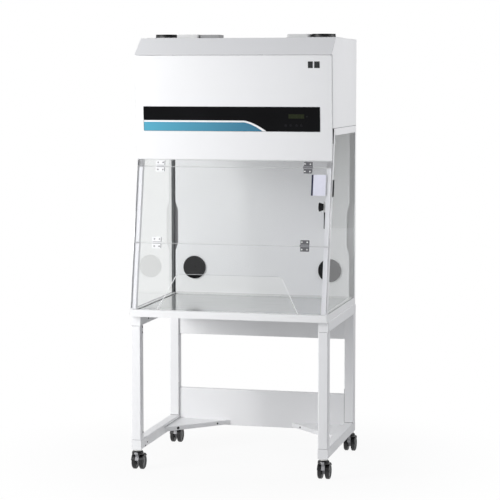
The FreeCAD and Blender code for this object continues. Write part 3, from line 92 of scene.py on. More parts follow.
SASH = Matrix.Translation((0, SASH_FOOT, BASE_TOP)) @ Matrix.Rotation(-SASH_LEAN, 4, "X")
DOOR = (Matrix.Translation((0, DOOR_FACE, DOOR_REFERENCE)) @ Matrix.Rotation(DOOR_LEAN, 4, "X")
        @ Matrix.Translation((0, 0, -DOOR_REFERENCE)))


def sash_face(height):
    """Depth of the plane that the sash lies on, at a height."""
    return SASH_FOOT + (height - BASE_TOP) * math.tan(SASH_LEAN)


def slope(height):
    """Distance up the sash from the sill, for a height over the floor."""
    return (height - BASE_TOP) / math.cos(SASH_LEAN)


def hand(side):
    """The letter that names the left or right piece of a pair."""
    return "l" if side < 0 else "r"


class Graph:
    """Adds and links shader nodes in one node tree."""

    def __init__(self, tree):
        self.tree = tree

    def add(self, kind, **values):
        node = self.tree.nodes.new(kind)
        for key, value in values.items():
            setattr(node, key, value)
        return node

    def link(self, source, target):
        self.tree.links.new(source, target)

    def feed(self, value, target):
        """Links another node's output, or sets a plain value."""
        if hasattr(value, "is_linked"):
            self.link(value, target)
        else:
            target.default_value = value

    def math(self, operation, first, second=None):
        node = self.add("ShaderNodeMath", operation=operation)
        self.feed(first, node.inputs[0])
        if second is not None:
            self.feed(second, node.inputs[1])
        return node.outputs["Value"]

    def ramp(self, value, start, end, low=0.0, high=1.0, **kind):
        """Maps a value from the range start to end onto the range low to high."""
        node = self.add("ShaderNodeMapRange", **kind)
        node.inputs["From Min"].default_value = start
        node.inputs["From Max"].default_value = end
        node.inputs["To Min"].default_value = low
        node.inputs["To Max"].default_value = high
        self.link(value, node.inputs["Value"])
        return node.outputs["Result"]

    def parts(self, vector):
        node = self.add("ShaderNodeSeparateXYZ")
        self.link(vector, node.inputs["Vector"])
        return node.outputs["X"], node.outputs["Y"], node.outputs["Z"]

    def mix(self, share, first, second):
        """Mixes two shaders."""
        node = self.add("ShaderNodeMixShader")
        self.feed(share, node.inputs["Fac"])
        self.link(first, node.inputs[1])
        self.link(second, node.inputs[2])
        return node.outputs[0]

    def white(self, shader, share, mirrored):
        """Mixes in a share of plain white for the camera; mirrored rays get a part of that share."""
        path = self.add("ShaderNodeLightPath")
        glossy = self.math("MULTIPLY", path.outputs["Is Glossy Ray"], mirrored)
        seen = self.math("MAXIMUM", path.outputs["Is Camera Ray"], glossy)
        seen = self.math("MAXIMUM", seen, path.outputs["Is Transmission Ray"])
        glow = self.add("ShaderNodeEmission")
        glow.inputs["Color"].default_value = (1, 1, 1, 1)
        glow.inputs["Strength"].default_value = 1.0
        return self.mix(self.math("MULTIPLY", seen, share), shader, glow.outputs[0])


class Nodes(Graph):
    """The node tree of one new material."""

    NOISE_LOW = 0.3
    NOISE_HIGH = 0.7

    def __init__(self, name):
        self.material = bpy.data.materials.new(name)
        self.material.use_nodes = True
        super().__init__(self.material.node_tree)
        self.shader = self.tree.nodes["Principled BSDF"]
        self.output = self.tree.nodes["Material Output"]

    def place(self):
        return self.add("ShaderNodeTexCoord").outputs["Object"]

    def axes(self):
        return self.parts(self.place())

    def normal(self):
        return self.parts(self.add("ShaderNodeNewGeometry").outputs["Normal"])

    def noise(self, scale, detail=2.0, stretch=(1, 1, 1)):
        mapping = self.add("ShaderNodeMapping")
        mapping.inputs["Scale"].default_value = stretch
        self.link(self.place(), mapping.inputs["Vector"])
        noise = self.add("ShaderNodeTexNoise")
        noise.inputs["Scale"].default_value = scale
        noise.inputs["Detail"].default_value = detail
        self.link(mapping.outputs["Vector"], noise.inputs["Vector"])
        return noise.outputs["Fac"]

    def spread(self, value, low=0.0, high=1.0):
        """Maps the usual range of a noise onto the range low to high."""
        return self.ramp(value, self.NOISE_LOW, self.NOISE_HIGH, low, high)

    def blend(self, factor, first, second):
        """Mixes two colours, each a colour or another node's output."""
        node = self.add("ShaderNodeMix", data_type="RGBA")
        self.link(factor, node.inputs["Factor"])
        for socket, colour in (("A", first), ("B", second)):
            slot = [i for i in node.inputs if i.name == socket and i.type == "RGBA"][0]
            self.feed(colour if hasattr(colour, "is_linked") else (*colour, 1), slot)
        return [o for o in node.outputs if o.type == "RGBA"][0]

    def colour(self, value):
        self.link(value, self.shader.inputs["Base Color"])

    def rough(self, value, low, high):
        self.link(self.spread(value, low, high), self.shader.inputs["Roughness"])

    def shine(self, level):
        self.shader.inputs["Specular IOR Level"].default_value = level

    def bump(self, height, strength, distance=0.0002):
        node = self.add("ShaderNodeBump")
        node.inputs["Strength"].default_value = strength
        node.inputs["Distance"].default_value = distance
        self.link(height, node.inputs["Height"])
        self.link(node.outputs["Normal"], self.shader.inputs["Normal"])


def darker(colour, share):
    """A colour times a share under 1."""
    return tuple(c * share for c in colour)


def coat(name, colour, roughness):
    """Sprayed powder paint with fine orange peel, as its node tree and the output of its colour."""
    n = Nodes(name)
    paint = n.blend(n.spread(n.noise(2.3, 3.0)), colour, darker(colour, 0.975))
    n.colour(paint)
    n.rough(n.noise(14.0, 3.0), roughness - 0.04, roughness + 0.05)
    n.bump(n.noise(900.0, 2.0), 0.12)
    return n, paint


def powder_coat(name, colour, roughness=0.42):
    """Powder paint in one colour, with faint clouding in tone and gloss."""
    return coat(name, colour, roughness)[0].material


def hood_coat():
    """The hood's paint; the left half of the rear panel's inner face is painted dark as painted shade."""
    shade_depth = 0.357
    facing_front = -0.5
    n, paint = coat("hood_paint", PAINT, 0.38)
    x, y, _ = n.axes()
    forward = n.math("LESS_THAN", n.normal()[1], facing_front)
    behind = n.math("MULTIPLY", n.math("GREATER_THAN", y, shade_depth), forward)
    painted_shade = n.math("MULTIPLY", behind, n.math("LESS_THAN", x, 0.0))
    # The dark colour is painted shade on the left half of the rear panel's inner face.
    n.colour(n.blend(painted_shade, paint, (0.19, 0.19, 0.20)))
    return n.material


def exhaust_case():
    """The exhaust units' silver paint; the fan's ring over the plate is black."""
    n, paint = coat("fan_case", (0.84, 0.84, 0.83), 0.45)
    x, y, z = n.axes()
    across = n.math("POWER", n.math("SUBTRACT", n.math("ABSOLUTE", x), FAN_X), 2.0)
    along = n.math("POWER", n.math("SUBTRACT", y, FAN_Y), 2.0)
    near = n.math("LESS_THAN", n.math("ADD", across, along), FAN_RING ** 2)
    ring = n.math("MULTIPLY", near, n.math("GREATER_THAN", z, ROOF_PLATE_TOP))
    n.colour(n.blend(ring, paint, (0.012, 0.012, 0.013)))
    return n.material


def metal(name, colour, roughness, stretch=(1, 40, 40)):
    """Metal with a fine grain drawn out along one axis."""
    n = Nodes(name)
    grain = n.noise(60.0, 4.0, stretch)
    n.colour(n.blend(n.spread(grain), colour, darker(colour, 0.86)))
    n.shader.inputs["Metallic"].default_value = 1.0
    n.rough(grain, roughness - 0.06, roughness + 0.08)
    n.bump(grain, 0.08)
    return n.material


def plastic(name, colour, roughness, specular=0.5):
    """Moulded plastic with a fine spark-eroded grain."""
    n = Nodes(name)
    n.shine(specular)
    n.colour(n.blend(n.spread(n.noise(9.0, 2.0)), colour, darker(colour, 0.9)))
    n.rough(n.noise(45.0, 3.0), roughness - 0.05, roughness + 0.06)
    n.bump(n.noise(700.0, 2.0), 0.2)
    return n.material


def simple(name, colour, roughness, specular=0.5):
    """A small smooth part with faint mottling."""
    n = Nodes(name)
    n.shine(specular)
    n.colour(n.blend(n.spread(n.noise(30.0, 3.0)), colour, darker(colour, 0.93)))
    n.rough(n.noise(70.0, 3.0), roughness - 0.04, roughness + 0.05)
    return n.material


def clear_sheet(name, tint, haze):
    """The looks of a clear pane: its faces, which also mirror at a glance, and its solid cut edges."""
    mirror_roughness = 0.015
    n = Nodes(name)
    n.tree.nodes.remove(n.shader)
    through = n.add("ShaderNodeBsdfTransparent")
    through.inputs["Color"].default_value = (*tint, 1)
    gloss = n.add("ShaderNodeBsdfGlossy")
    gloss.inputs["Color"].default_value = (1, 1, 1, 1)
    gloss.inputs["Roughness"].default_value = mirror_roughness
    veil = n.add("ShaderNodeBsdfDiffuse")
    dust = n.spread(n.noise(5.0, 4.0))
    n.link(n.blend(dust, (0.86, 0.87, 0.86), (0.80, 0.81, 0.80)), veil.inputs["Color"])
    share = n.spread(n.noise(11.0, 5.0), haze * 0.7, haze * 1.3)
    veiled = n.mix(share, through.outputs[0], veil.outputs[0])
    fresnel = n.add("ShaderNodeFresnel")
    fresnel.inputs["IOR"].default_value = 1.5
    outside = n.math("SUBTRACT", 1.0, n.add("ShaderNodeNewGeometry").outputs["Backfacing"])
    face = n.mix(n.math("MULTIPLY", fresnel.outputs[0], outside), veiled, gloss.outputs[0])
    rim = n.add("ShaderNodeBsdfPrincipled")
    rim.inputs["Roughness"].default_value = 0.25
    return n, face, rim


def flap_clear():
    """The sash: its cut edges are pale as a painted highlight, but for the dark one at the far left."""
    left_edge = -0.44
    sideways, upward = 0.7, 0.9
    n, face, rim = clear_sheet("clear_sheet", (0.988, 0.989, 0.994), 0.004)
    pale_painted_light = n.math("GREATER_THAN", n.axes()[0], left_edge)
    # The pale cut edges are a painted highlight; the one at the far left stays dark.
    n.link(n.blend(pale_painted_light, (0.25, 0.27, 0.27), (0.93, 0.94, 0.94)), rim.inputs["Base Color"])
    x, _, z = n.normal()
    edge = n.math("MAXIMUM", n.math("GREATER_THAN", n.math("ABSOLUTE", x), sideways),
                  n.math("GREATER_THAN", n.math("ABSOLUTE", z), upward))
    n.link(n.mix(edge, face, rim.outputs[0]), n.output.inputs["Surface"])
    return n.material


def pane_clear():
    """The side panes: their cut edges stand in pale seals."""
    sideways = 0.5
    n, face, rim = clear_sheet("side_glass", (0.955, 0.962, 0.955), 0.008)
    rim.inputs["Base Color"].default_value = (0.66, 0.70, 0.69, 1)
    edge = n.math("LESS_THAN", n.math("ABSOLUTE", n.normal()[0]), sideways)
    n.link(n.mix(edge, face, rim.outputs[0]), n.output.inputs["Surface"])
    return n.material


def work_surface():
    """The tray: a hard glossy coat, wiped along its length; its upright edges are paler, as painted light."""
    level = 0.5
    n = Nodes("tray_paint")
    wipe = n.noise(7.0, 4.0, (1, 9, 1))
    flat = n.blend(n.spread(wipe), (0.60, 0.61, 0.61), (0.52, 0.53, 0.53))
    upright_painted_light = n.math("LESS_THAN", n.math("ABSOLUTE", n.normal()[2]), level)
    # The pale upright edges are painted light.
    n.colour(n.blend(upright_painted_light, flat, (0.90, 0.90, 0.90)))
    n.shader.inputs["Metallic"].default_value = 0.2
    n.rough(wipe, 0.05, 0.14)
    n.bump(n.noise(300.0, 2.0, (1, 6, 1)), 0.04)
    return n.material


def caster_body():
    """Black moulded hood and fork, with the grey web that shows between the wheels."""
    web_half = 0.0085
    web_top = 0.092
    n = Nodes("caster_plastic")
    x, _, z = n.axes()
    aside = n.math("ABSOLUTE", n.math("SUBTRACT", n.math("ABSOLUTE", x), CASTER_X))
    web = n.math("MULTIPLY", n.math("LESS_THAN", aside, web_half), n.math("LESS_THAN", z, web_top))
    n.colour(n.blend(web, (0.008, 0.008, 0.009), (0.40, 0.40, 0.41)))
    n.rough(n.noise(60.0, 3.0), 0.26, 0.38)
    n.bump(n.noise(800.0, 2.0), 0.2)
    return n.material


def wheel_tread():
    """Soft tread round a harder hub, told apart by the distance from the axle."""
    axle_height = 0.039
    front_axle, rear_axle = 0.328, 0.362
    hub_radius = 0.0305
    n = Nodes("wheel_tread")
    _, y, z = n.axes()
    rise = n.math("SUBTRACT", z, axle_height)
    far = n.math("ABSOLUTE", y)
    is_front = n.math("LESS_THAN", y, 0.0)
    along = n.math("ADD", n.math("MULTIPLY", is_front, n.math("SUBTRACT", far, front_axle)),
                   n.math("MULTIPLY", n.math("SUBTRACT", 1.0, is_front), n.math("SUBTRACT", far, rear_axle)))
    radius = n.math("SQRT", n.math("ADD", n.math("MULTIPLY", along, along), n.math("MULTIPLY", rise, rise)))
    tread = n.math("GREATER_THAN", radius, hub_radius)
    n.colour(n.blend(tread, (0.050, 0.051, 0.052), (0.006, 0.006, 0.007)))
    n.rough(n.noise(80.0, 3.0), 0.36, 0.52)
    n.bump(n.noise(500.0, 3.0), 0.25, 0.0003)
    return n.material


def fleece():
    """Pleated filter fleece with matted fibres."""
    n = Nodes("filter_media")
    fibre = n.noise(420.0, 6.0, (1, 3, 1))
    n.colour(n.blend(n.spread(fibre), (0.82, 0.82, 0.79), (0.70, 0.70, 0.66)))
    n.shader.inputs["Roughness"].default_value = 0.95
    n.bump(fibre, 0.5, 0.0008)
    return n.material


def gloss_black():
    """The control panel's dark sheet."""
    n = Nodes("panel_black")
    n.colour(n.blend(n.spread(n.noise(6.0, 2.0)), (0.004, 0.004, 0.0045), (0.006, 0.006, 0.007)))
    n.shine(0.06)
    n.rough(n.noise(20.0, 3.0), 0.10, 0.17)
    n.bump(n.noise(250.0, 2.0), 0.02)
    return n.material


def blue_sweep():
    """The panel's lower band, lighter at its left end."""
    band_end = 0.16
    n = Nodes("panel_blue")
    share = n.ramp(n.axes()[0], PANEL_LEFT, band_end)
    n.colour(n.blend(share, (0.080, 0.38, 0.53), (0.035, 0.17, 0.28)))
    n.rough(n.noise(20.0, 3.0), 0.16, 0.24)
    return n.material


def hinge_leaf():
    """The hinges: pale on the left as painted light and dark on the right as painted shade, as the photo
    shows them.
    """
    n = Nodes("hinge_plastic")
    grain = n.spread(n.noise(60.0, 4.0, (40, 1, 1)))
    pale_painted_light = n.blend(grain, (0.93, 0.93, 0.94), (0.84, 0.84, 0.85))
    dark = n.blend(grain, (0.17, 0.17, 0.18), (0.13, 0.13, 0.14))
    # The pale left hinges are painted light and the dark right ones are painted shade.
    n.colour(n.blend(n.math("GREATER_THAN", n.axes()[0], 0.0), pale_painted_light, dark))
    n.rough(grain, 0.22, 0.34)
    n.bump(grain, 0.08)
    return n.material


MATERIALS = {
    "stand_paint": powder_coat("stand_paint", PAINT),
    "hood_paint": hood_coat(),
    "base_paint": powder_coat("base_paint", (0.90, 0.90, 0.90)),
    "tray_paint": work_surface(),
    "clear_sheet": flap_clear(),
    "side_glass": pane_clear(),
    "hinge_plastic": hinge_leaf(),
    "black_plastic": plastic("black_plastic", (0.004, 0.004, 0.005), 0.45, 0.08),
    "caster_plastic": caster_body(),
    "wheel_tread": wheel_tread(),
    "bright_steel": metal("bright_steel", (0.62, 0.62, 0.61), 0.3),
    "valve_body": powder_coat("valve_body", (0.55, 0.55, 0.53), 0.35),
    "panel_black": gloss_black(),
    "display_window": simple("display_window", (0.022, 0.027, 0.013), 0.25, 0.08),
    "button_plastic": simple("button_plastic", (0.010, 0.010, 0.012), 0.4, 0.10),
    "filter_media": fleece(),
    "filter_case": metal("filter_case", (0.60, 0.61, 0.61), 0.42, (1, 6, 6)),
    "fan_case": exhaust_case(),
    "impeller_plastic": plastic("impeller_plastic", (0.05, 0.05, 0.05), 0.5),
    "guard_wire": plastic("guard_wire", (0.012, 0.012, 0.012), 0.4),
    "terminal_box": plastic("terminal_box", (0.42, 0.42, 0.42), 0.45),
}


def dress_nodes():
    """Gives each CAD node the material of its slot in the record."""
    slot_of = {s["node"]: s["material_slot"] for s in frame["record"]["subparts"]}
    for name, obj in NODES.items():
        obj.data.materials.clear()
        obj.data.materials.append(MATERIALS[slot_of[name]])


def add_piece(name, mesh, material, body):
    """Puts a mesh into the scene as a piece that moves with a body."""
    obj = bpy.data.objects.new(name, mesh)
    bpy.context.collection.objects.link(obj)
    obj.data.materials.append(material)
    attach(obj, body)
    return obj


def mesh_piece(name, points, faces, material, body, transform=Matrix.Identity(4)):
    """A piece from its points and faces."""
    mesh = bpy.data.meshes.new(name)
    mesh.from_pydata([transform @ Vector(p) for p in points], [], faces)
    mesh.update()
    return add_piece(name, mesh, material, body)


def bmesh_piece(name, bm, material, body):
    """A piece from a finished bmesh, which is freed."""
    mesh = bpy.data.meshes.new(name)
    bm.to_mesh(mesh)
    bm.free()
    return add_piece(name, mesh, material, body)


def slab(name, outline, y0, y1, material, body, transform):
    """A flat piece: an outline of (x, z) points between two depths."""
    count = len(outline)
    points = [(x, y0, z) for x, z in outline] + [(x, y1, z) for x, z in outline]
    faces = [tuple(range(count)), tuple(range(2 * count - 1, count - 1, -1))]
    faces += [(i, (i + 1) % count, count + (i + 1) % count, count + i)[::-1] for i in range(count)]
    return mesh_piece(name, points, faces, material, body, transform)


def rectangle(x0, x1, z0, z1):
    """The outline of a rectangle, for a slab."""
    return [(x0, z0), (x1, z0), (x1, z1), (x0, z1)]


def circle(count):
    """Points spaced evenly round a circle with radius 1."""
    angles = [2 * math.pi * i / count for i in range(count)]
    return [(math.cos(a), math.sin(a)) for a in angles]


def strips(name, spans, material, body):
    """Thin trim as one mesh: each span holds a strip's ranges along x, y and z."""
    sides = ((0, 2, 3, 1), (4, 5, 7, 6), (0, 1, 5, 4), (2, 6, 7, 3), (0, 4, 6, 2), (1, 3, 7, 5))
    points = []
    faces = []
    for span in spans:
        first = len(points)
        points += [tuple(span[axis][i >> axis & 1] for axis in range(3)) for i in range(8)]
        faces += [tuple(first + i for i in side) for side in sides]
    return mesh_piece(name, points, faces, material, body)


def screw(name, place, normal, radius, height, material, body):
    """A domed screw head with a narrow rim round its flat crown."""
    ring_count = 5
    crown_start = 0.82
    crown_rim = 0.03
    around = circle(20)
    bm = bmesh.new()
    rings = []
    for r in range(ring_count):
        angle = r / (ring_count - 1) * math.pi / 2
        reach = radius * math.cos(angle * crown_start)
        rings.append([bm.verts.new((reach * c, reach * s, height * math.sin(angle))) for c, s in around])
    for lower, upper in zip(rings, rings[1:]):
        for i in range(len(around)):
            k = (i + 1) % len(around)
            bm.faces.new((lower[i], lower[k], upper[k], upper[i]))
    crown = bm.faces.new(rings[-1])
    inset = bmesh.ops.inset_region(bm, faces=[crown], thickness=radius * crown_rim)
    bm.normal_update()
    for face in inset["faces"]:
        face.smooth = True
    turn = Vector(normal).to_track_quat("Z", "Y").to_matrix().to_4x4()
    bm.transform(Matrix.Translation(place) @ turn)
    return bmesh_piece(name, bm, material, body)


def hinge_screws():
    """Two screws in each leaf of the sash's hinges: dark on the left, bright on the right as a painted
    highlight.
    """
    steel = metal("screw_steel", (0.30, 0.30, 0.30), 0.3)
    highlight_metal = metal("screw_highlight", (0.80, 0.80, 0.80), 0.35)
    from_pin = 0.018
    from_middle = 0.013
    radius, dome = 0.004, 0.0016
    normal = SASH.to_3x3() @ Vector((0, -1, 0))
    rows = ((UPPER_HINGE, from_pin, "hood"), (UPPER_HINGE, -from_pin, "upper_flap"),
            (LOWER_HINGE, from_pin, "upper_flap"), (LOWER_HINGE, -from_pin, "lower_flap"))
    for row, (height, step, body) in enumerate(rows):
        for side in (-1, 1):
            for mark, dx in (("a", -from_middle), ("b", from_middle)):
                place = SASH @ Vector((side * HINGE_X + dx, HINGE_FACE, slope(height) + step))
                name = f"hinge_screw_{row}_{hand(side)}_{mark}"
                # The bright screws on the right carry a painted highlight.
                screw(name, place, normal, radius, dome, steel if side < 0 else highlight_metal, body)


def hinge_lines():
    """Each hinge leaf's inner edge and the line by its knuckles: dark on the left, bright on the right as a
    painted highlight.
    """
    dark = simple("hinge_line", (0.05, 0.05, 0.055), 0.5)
    pale_painted_light = simple("hinge_highlight", (0.72, 0.72, 0.74), 0.4)
    knuckle = 0.0031
    leaf_start, leaf_end = 0.006, 0.027
    edge_width = 0.0028
    pin_width, pin_inset = 0.0018, 0.003
    y0, y1 = HINGE_FACE - 0.0003, HINGE_FACE
    rows = (("upper", UPPER_HINGE, "hood", "upper_flap"), ("lower", LOWER_HINGE, "upper_flap", "lower_flap"))
    for row, height, above, below in rows:
        t = slope(height)
        halves = (("top", above, t + leaf_start, t + leaf_end, t + knuckle),
                  ("foot", below, t - leaf_end, t - leaf_start, t - knuckle - pin_width))
        for side in (-1, 1):
            x = side * HINGE_X
            # The bright lines on the right are a painted highlight.
            colour = dark if side < 0 else pale_painted_light
            edge = x + HINGE_HALF - edge_width if side < 0 else x - HINGE_HALF
            pin_start, pin_end = x - HINGE_HALF + pin_inset, x + HINGE_HALF - pin_inset
            for part, body, t0, t1, near in halves:
                name = f"hinge_line_{row}_{hand(side)}_{part}"
                leaf = rectangle(edge, edge + edge_width, t0, t1)
                pin = rectangle(pin_start, pin_end, near, near + pin_width)
                slab(name + "_edge", leaf, y0, y1, colour, body, SASH)
                slab(name + "_pin", pin, y0, y1, colour, body, SASH)


def sash_lines():
    """Edge seals along the sash's hinge lines, and round the arm opening a seal along its top and a white
    painted highlight down its slanted sides.
    """
    seal = simple("sash_seal", (0.55, 0.55, 0.56), 0.5)
    # The white strips down the arm opening's slanted sides are a painted highlight.
    edge_highlight_paint = simple("arm_edge_highlight", (0.95, 0.95, 0.95), 0.4)
    seal_width, highlight_width = 0.0022, 0.0035
    y0, y1 = FLAP_FACE - 0.0003, FLAP_FACE
    upper = slope(UPPER_HINGE) - 0.0045
    lower = slope(LOWER_HINGE) - 0.0040
    for name, t, body in (("upper_flap_seal", upper, "upper_flap"), ("lower_flap_seal", lower, "lower_flap")):
        line = rectangle(-FLAP_REACH, FLAP_REACH, t, t + seal_width)
        slab(name, line, y0, y1, seal, body, SASH)

    foot, top = slope(SASH_START), slope(0.993)
    foot_half, top_half = 0.3520, 0.2620
    corner_inset, corner_drop = 0.012, 0.010
    line_half = top_half - corner_inset
    line = rectangle(-line_half, line_half, top + 0.0002, top + 0.0020)
    slab("arm_top_seal", line, y0, y1, seal, "lower_flap", SASH)
    start = top - corner_drop
    share = (start - foot) / (top - foot)
    start_half = foot_half + (top_half - foot_half) * share
    for side in (-1, 1):
        outline = [(side * foot_half, foot), (side * start_half, start),
                   (side * (start_half + highlight_width), start), (side * (foot_half + highlight_width), foot)]
        outline = outline if side < 0 else outline[::-1]
        slab("arm_side_highlight_" + hand(side), outline, y0, y1, edge_highlight_paint, "lower_flap", SASH)


def edge_beads():
    """A bright round bead down the outer edge of each front post, which puts a painted highlight along that
    edge.
    """
    # The bright bead puts a painted highlight along each post's outer edge.
    highlight_metal = metal("post_edge_highlight", (0.95, 0.95, 0.96), 0.3, (1, 1, 30))
    bead_x, bead_y = 0.4935, -0.0004
    radius = 0.0016
    ends = slope(SASH_START), slope(1.550)
    around = circle(16)
    count = len(around)
    for side in (-1, 1):
        points = [(side * bead_x + radius * c, bead_y + radius * s, t) for t in ends for c, s in around]
        faces = [(i, (i + 1) % count, count + (i + 1) % count, count + i) for i in range(count)]
        faces += [tuple(range(count - 1, -1, -1)), tuple(range(count, 2 * count))]
        bead = mesh_piece("post_highlight_bead_" + hand(side), points, faces, highlight_metal, "hood", SASH)
        for polygon in bead.data.polygons:
            polygon.use_smooth = len(polygon.vertices) == 4


def panel_graphics():
    """The white line that curves down across the panel, and the blue band under it."""
    white = simple("panel_white", (0.93, 0.93, 0.93), 0.3)
    y0, y1 = PANEL_FACE - 0.0002, PANEL_FACE
    top, low = 1.750, 1.7415
    bend, end, line_width = 0.054, 0.170, 0.019
    foot = PANEL_BOTTOM + 0.001
    count = 24
    fall = 1.6

    def arc(height, reach):
        return [(bend + (reach - bend) * i / count, height - (height - foot) * (i / count) ** fall)
                for i in range(count + 1)]

    upper = [(PANEL_LEFT, top)] + arc(top, end)
    lower = [(PANEL_LEFT, low)] + arc(low, end - line_width)
    slab("panel_white_line", upper[::-1] + lower, y0, y1, white, "door", DOOR)
    band = lower + [(PANEL_LEFT, foot)]
    slab("panel_blue_band", band[::-1], y0, y1, blue_sweep(), "door", DOOR)


def door_plates():
    """Two bare dark plates near the door's right edge, and the lamp on the panel."""
    dark = simple("plate_dark", (0.012, 0.014, 0.016), 0.35)
    lamp = simple("status_lamp", (0.010, 0.011, 0.012), 0.25, 0.2)
    thickness = 0.0006
    foot, top = 2.006, 2.038
    for name, x0, x1 in (("door_plate_a", 0.380, 0.404), ("door_plate_b", 0.411, 0.438)):
        slab(name, rectangle(x0, x1, foot, top), -thickness, 0, dark, "door", DOOR)
    lamp_x, lamp_z = 0.374, 1.771
    radius, dome = 0.0028, 0.0012
    place = DOOR @ Vector((lamp_x, PANEL_FACE, lamp_z))
    screw("status_lamp", place, DOOR.to_3x3() @ Vector((0, -1, 0)), radius, dome, lamp, "door")


def sash_plate():
    """The bare pale plate on the upper flap, with a dark stripe down its left side."""
    lilac = simple("plate_lilac", (0.86, 0.86, 0.97), 0.4)
    navy = simple("plate_navy", (0.012, 0.014, 0.05), 0.4)
    left, right, stripe_end = 0.395, 0.466, 0.404
    foot, top = slope(1.387), slope(1.488)
    plate_face = FLAP_FACE - 0.0004
    stripe_face = FLAP_FACE - 0.0006
    slab("sash_plate", rectangle(left, right, foot, top), plate_face, FLAP_FACE, lilac, "upper_flap", SASH)
    slab("sash_plate_stripe", rectangle(left, stripe_end, foot, top), stripe_face, plate_face, navy,
         "upper_flap", SASH)


def chamber_panel():
    """The folded sheet behind the door; it ends just over the sash header, which stays in view."""
    low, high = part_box("chamber_front_panel")
    foot = 1.560
    outer = [(RING_FRONT, HEAD_BOTTOM), (sash_face(HEAD_BOTTOM), HEAD_BOTTOM), (sash_face(foot), foot)]
    inner = [(sash_face(foot) + SHEET, foot), (sash_face(HEAD_BOTTOM) + SHEET, HEAD_BOTTOM - SHEET),
             (RING_FRONT, HEAD_BOTTOM - SHEET)]
    profile = outer + inner
    count = len(profile)
    points = [(x, y, z) for x in (low[0], high[0]) for y, z in profile]
    left_end = [(0, 1, 4, 5), (1, 2, 3, 4)]
    right_end = [(count, count + 5, count + 4, count + 1), (count + 1, count + 4, count + 3, count + 2)]
    faces = left_end + right_end
    faces += [(i, i + count, (i + 1) % count + count, (i + 1) % count) for i in range(count)]
    panel = mesh_piece("chamber_panel_sheet", points, faces, MATERIALS["hood_paint"], "hood")
    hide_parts("chamber_front_panel")


def joint_lines():
    """Joint lines where the stand's tubes and sheets meet, a dark line along each bottom rail's inner face, a
    painted shade line down each front leg's outer side, and the seam over the glass.
    """
    line = simple("joint_and_shade_line", (0.16, 0.16, 0.165), 0.6)
    thin = 0.0002
    weld_inset = 0.004
    seam_half = 0.001
    front = (FRONT - thin, FRONT)
    stand = []
    seams = []
    for side in (-1, 1):
        outer, inner = side * STAND_HALF, side * LEG_INNER
        left, right = sorted((outer, inner))
        weld = (left + weld_inset, right - weld_inset)
        over_bottom_rail = (weld, front, (0.1555, 0.1568))
        under_top_rail = (weld, front, (0.7303, 0.7316))
        rear_leg_foot = ((left + 0.001, right - 0.003), (0.3148, 0.3151), (0.1565, 0.1585))
        edge = sorted((inner - side * thin, inner + side * 0.0014))
        rear_leg_edge = (edge, (0.3147, 0.3151), (0.158, 0.335))
        over_brace = (sorted((inner - side * 0.0003, inner)), (0.035, 0.312), (0.1402, 0.1418))
        # A painted shade line down each front leg's outer side, by its front edge.
        leg_corner_shade = (sorted((outer, outer + side * thin)), (-0.3700, -0.3688), (0.290, 0.781))
        stand += [over_bottom_rail, under_top_rail, rear_leg_foot, rear_leg_edge, over_brace, leg_corner_shade]
        hood_side = sorted((side * HOOD_HALF, side * (HOOD_HALF + thin)))
        seams.append((hood_side, (-0.268, 0.364), (HEAD_BOTTOM - seam_half, HEAD_BOTTOM + seam_half)))
    strips("stand_joint_lines", stand, line, "hood")
    strips("head_joint_lines", seams, line, "hood")


def stand_screws():
    """Black screw heads on the inner faces of the legs and rails, and at the corner braces."""
    black = simple("screw_black", (0.012, 0.012, 0.013), 0.4)
    radius, dome = 0.0045, 0.0022
    places = ((-0.340, 0.722), (-0.340, 0.695), (-0.237, 0.752), (-0.340, 0.190), (-0.298, 0.113),
              (-0.266, 0.126))
    brace_z, brace_dome = 0.129, 0.0024
    brace_places = ((0.3934, 0.0996, 0.0078), (0.2246, 0.2684, 0.0048))
    for side in (-1, 1):
        for i, (y, z) in enumerate(places):
            place = Vector((side * LEG_INNER, y, z))
            screw(f"stand_screw_{hand(side)}_{i}", place, (-side, 0, 0), radius, dome, black, "hood")
        for i, (x, y, size) in enumerate(brace_places):
            place = Vector((side * x, y, brace_z))
            screw(f"brace_screw_{hand(side)}_{i}", place, (-side, -1, 0), size, brace_dome, black, "hood")


def caster_caps():
    """The domed crown of each caster, just under its leg."""
    profile = ((0.0, 0.0984), (0.019, 0.0984), (0.0255, 0.0965), (0.0285, 0.0925), (0.0292, 0.087),
               (0.0292, 0.080), (0.0, 0.080))
    front, rear = -0.350, 0.340
    flat = 0.99
    around = circle(48)
    for corner, side, y in (("fl", -1, front), ("fr", 1, front), ("rl", -1, rear), ("rr", 1, rear)):
        x = side * CASTER_X
        bm = bmesh.new()
        rings = []
        for r, z in profile:
            spokes = around if r else [(0.0, 0.0)]
            rings.append([bm.verts.new((x + r * c, y + r * s, z)) for c, s in spokes])
        for upper, lower in zip(rings, rings[1:]):
            for i in range(len(around)):
                k = (i + 1) % len(around)
                quad = [upper[i % len(upper)], lower[i % len(lower)], lower[k % len(lower)],
                        upper[k % len(upper)]]
                bm.faces.new([v for j, v in enumerate(quad) if v not in quad[:j]])
        bm.normal_update()
        for face in bm.faces:
            face.smooth = abs(face.normal.z) < flat
        cap = bmesh_piece("caster_cap_" + corner, bm, MATERIALS["caster_plastic"], "caster_" + corner)


def door_lip():
    """A fold along the door's top edge that half closes the gap under the roof."""
    half, foot, top = 0.49, 2.0655, 2.0685
    front = 0.0022
    slab("door_top_lip", rectangle(-half, half, foot, top), front, front + SHEET, MATERIALS["hood_paint"],
         "door", DOOR)


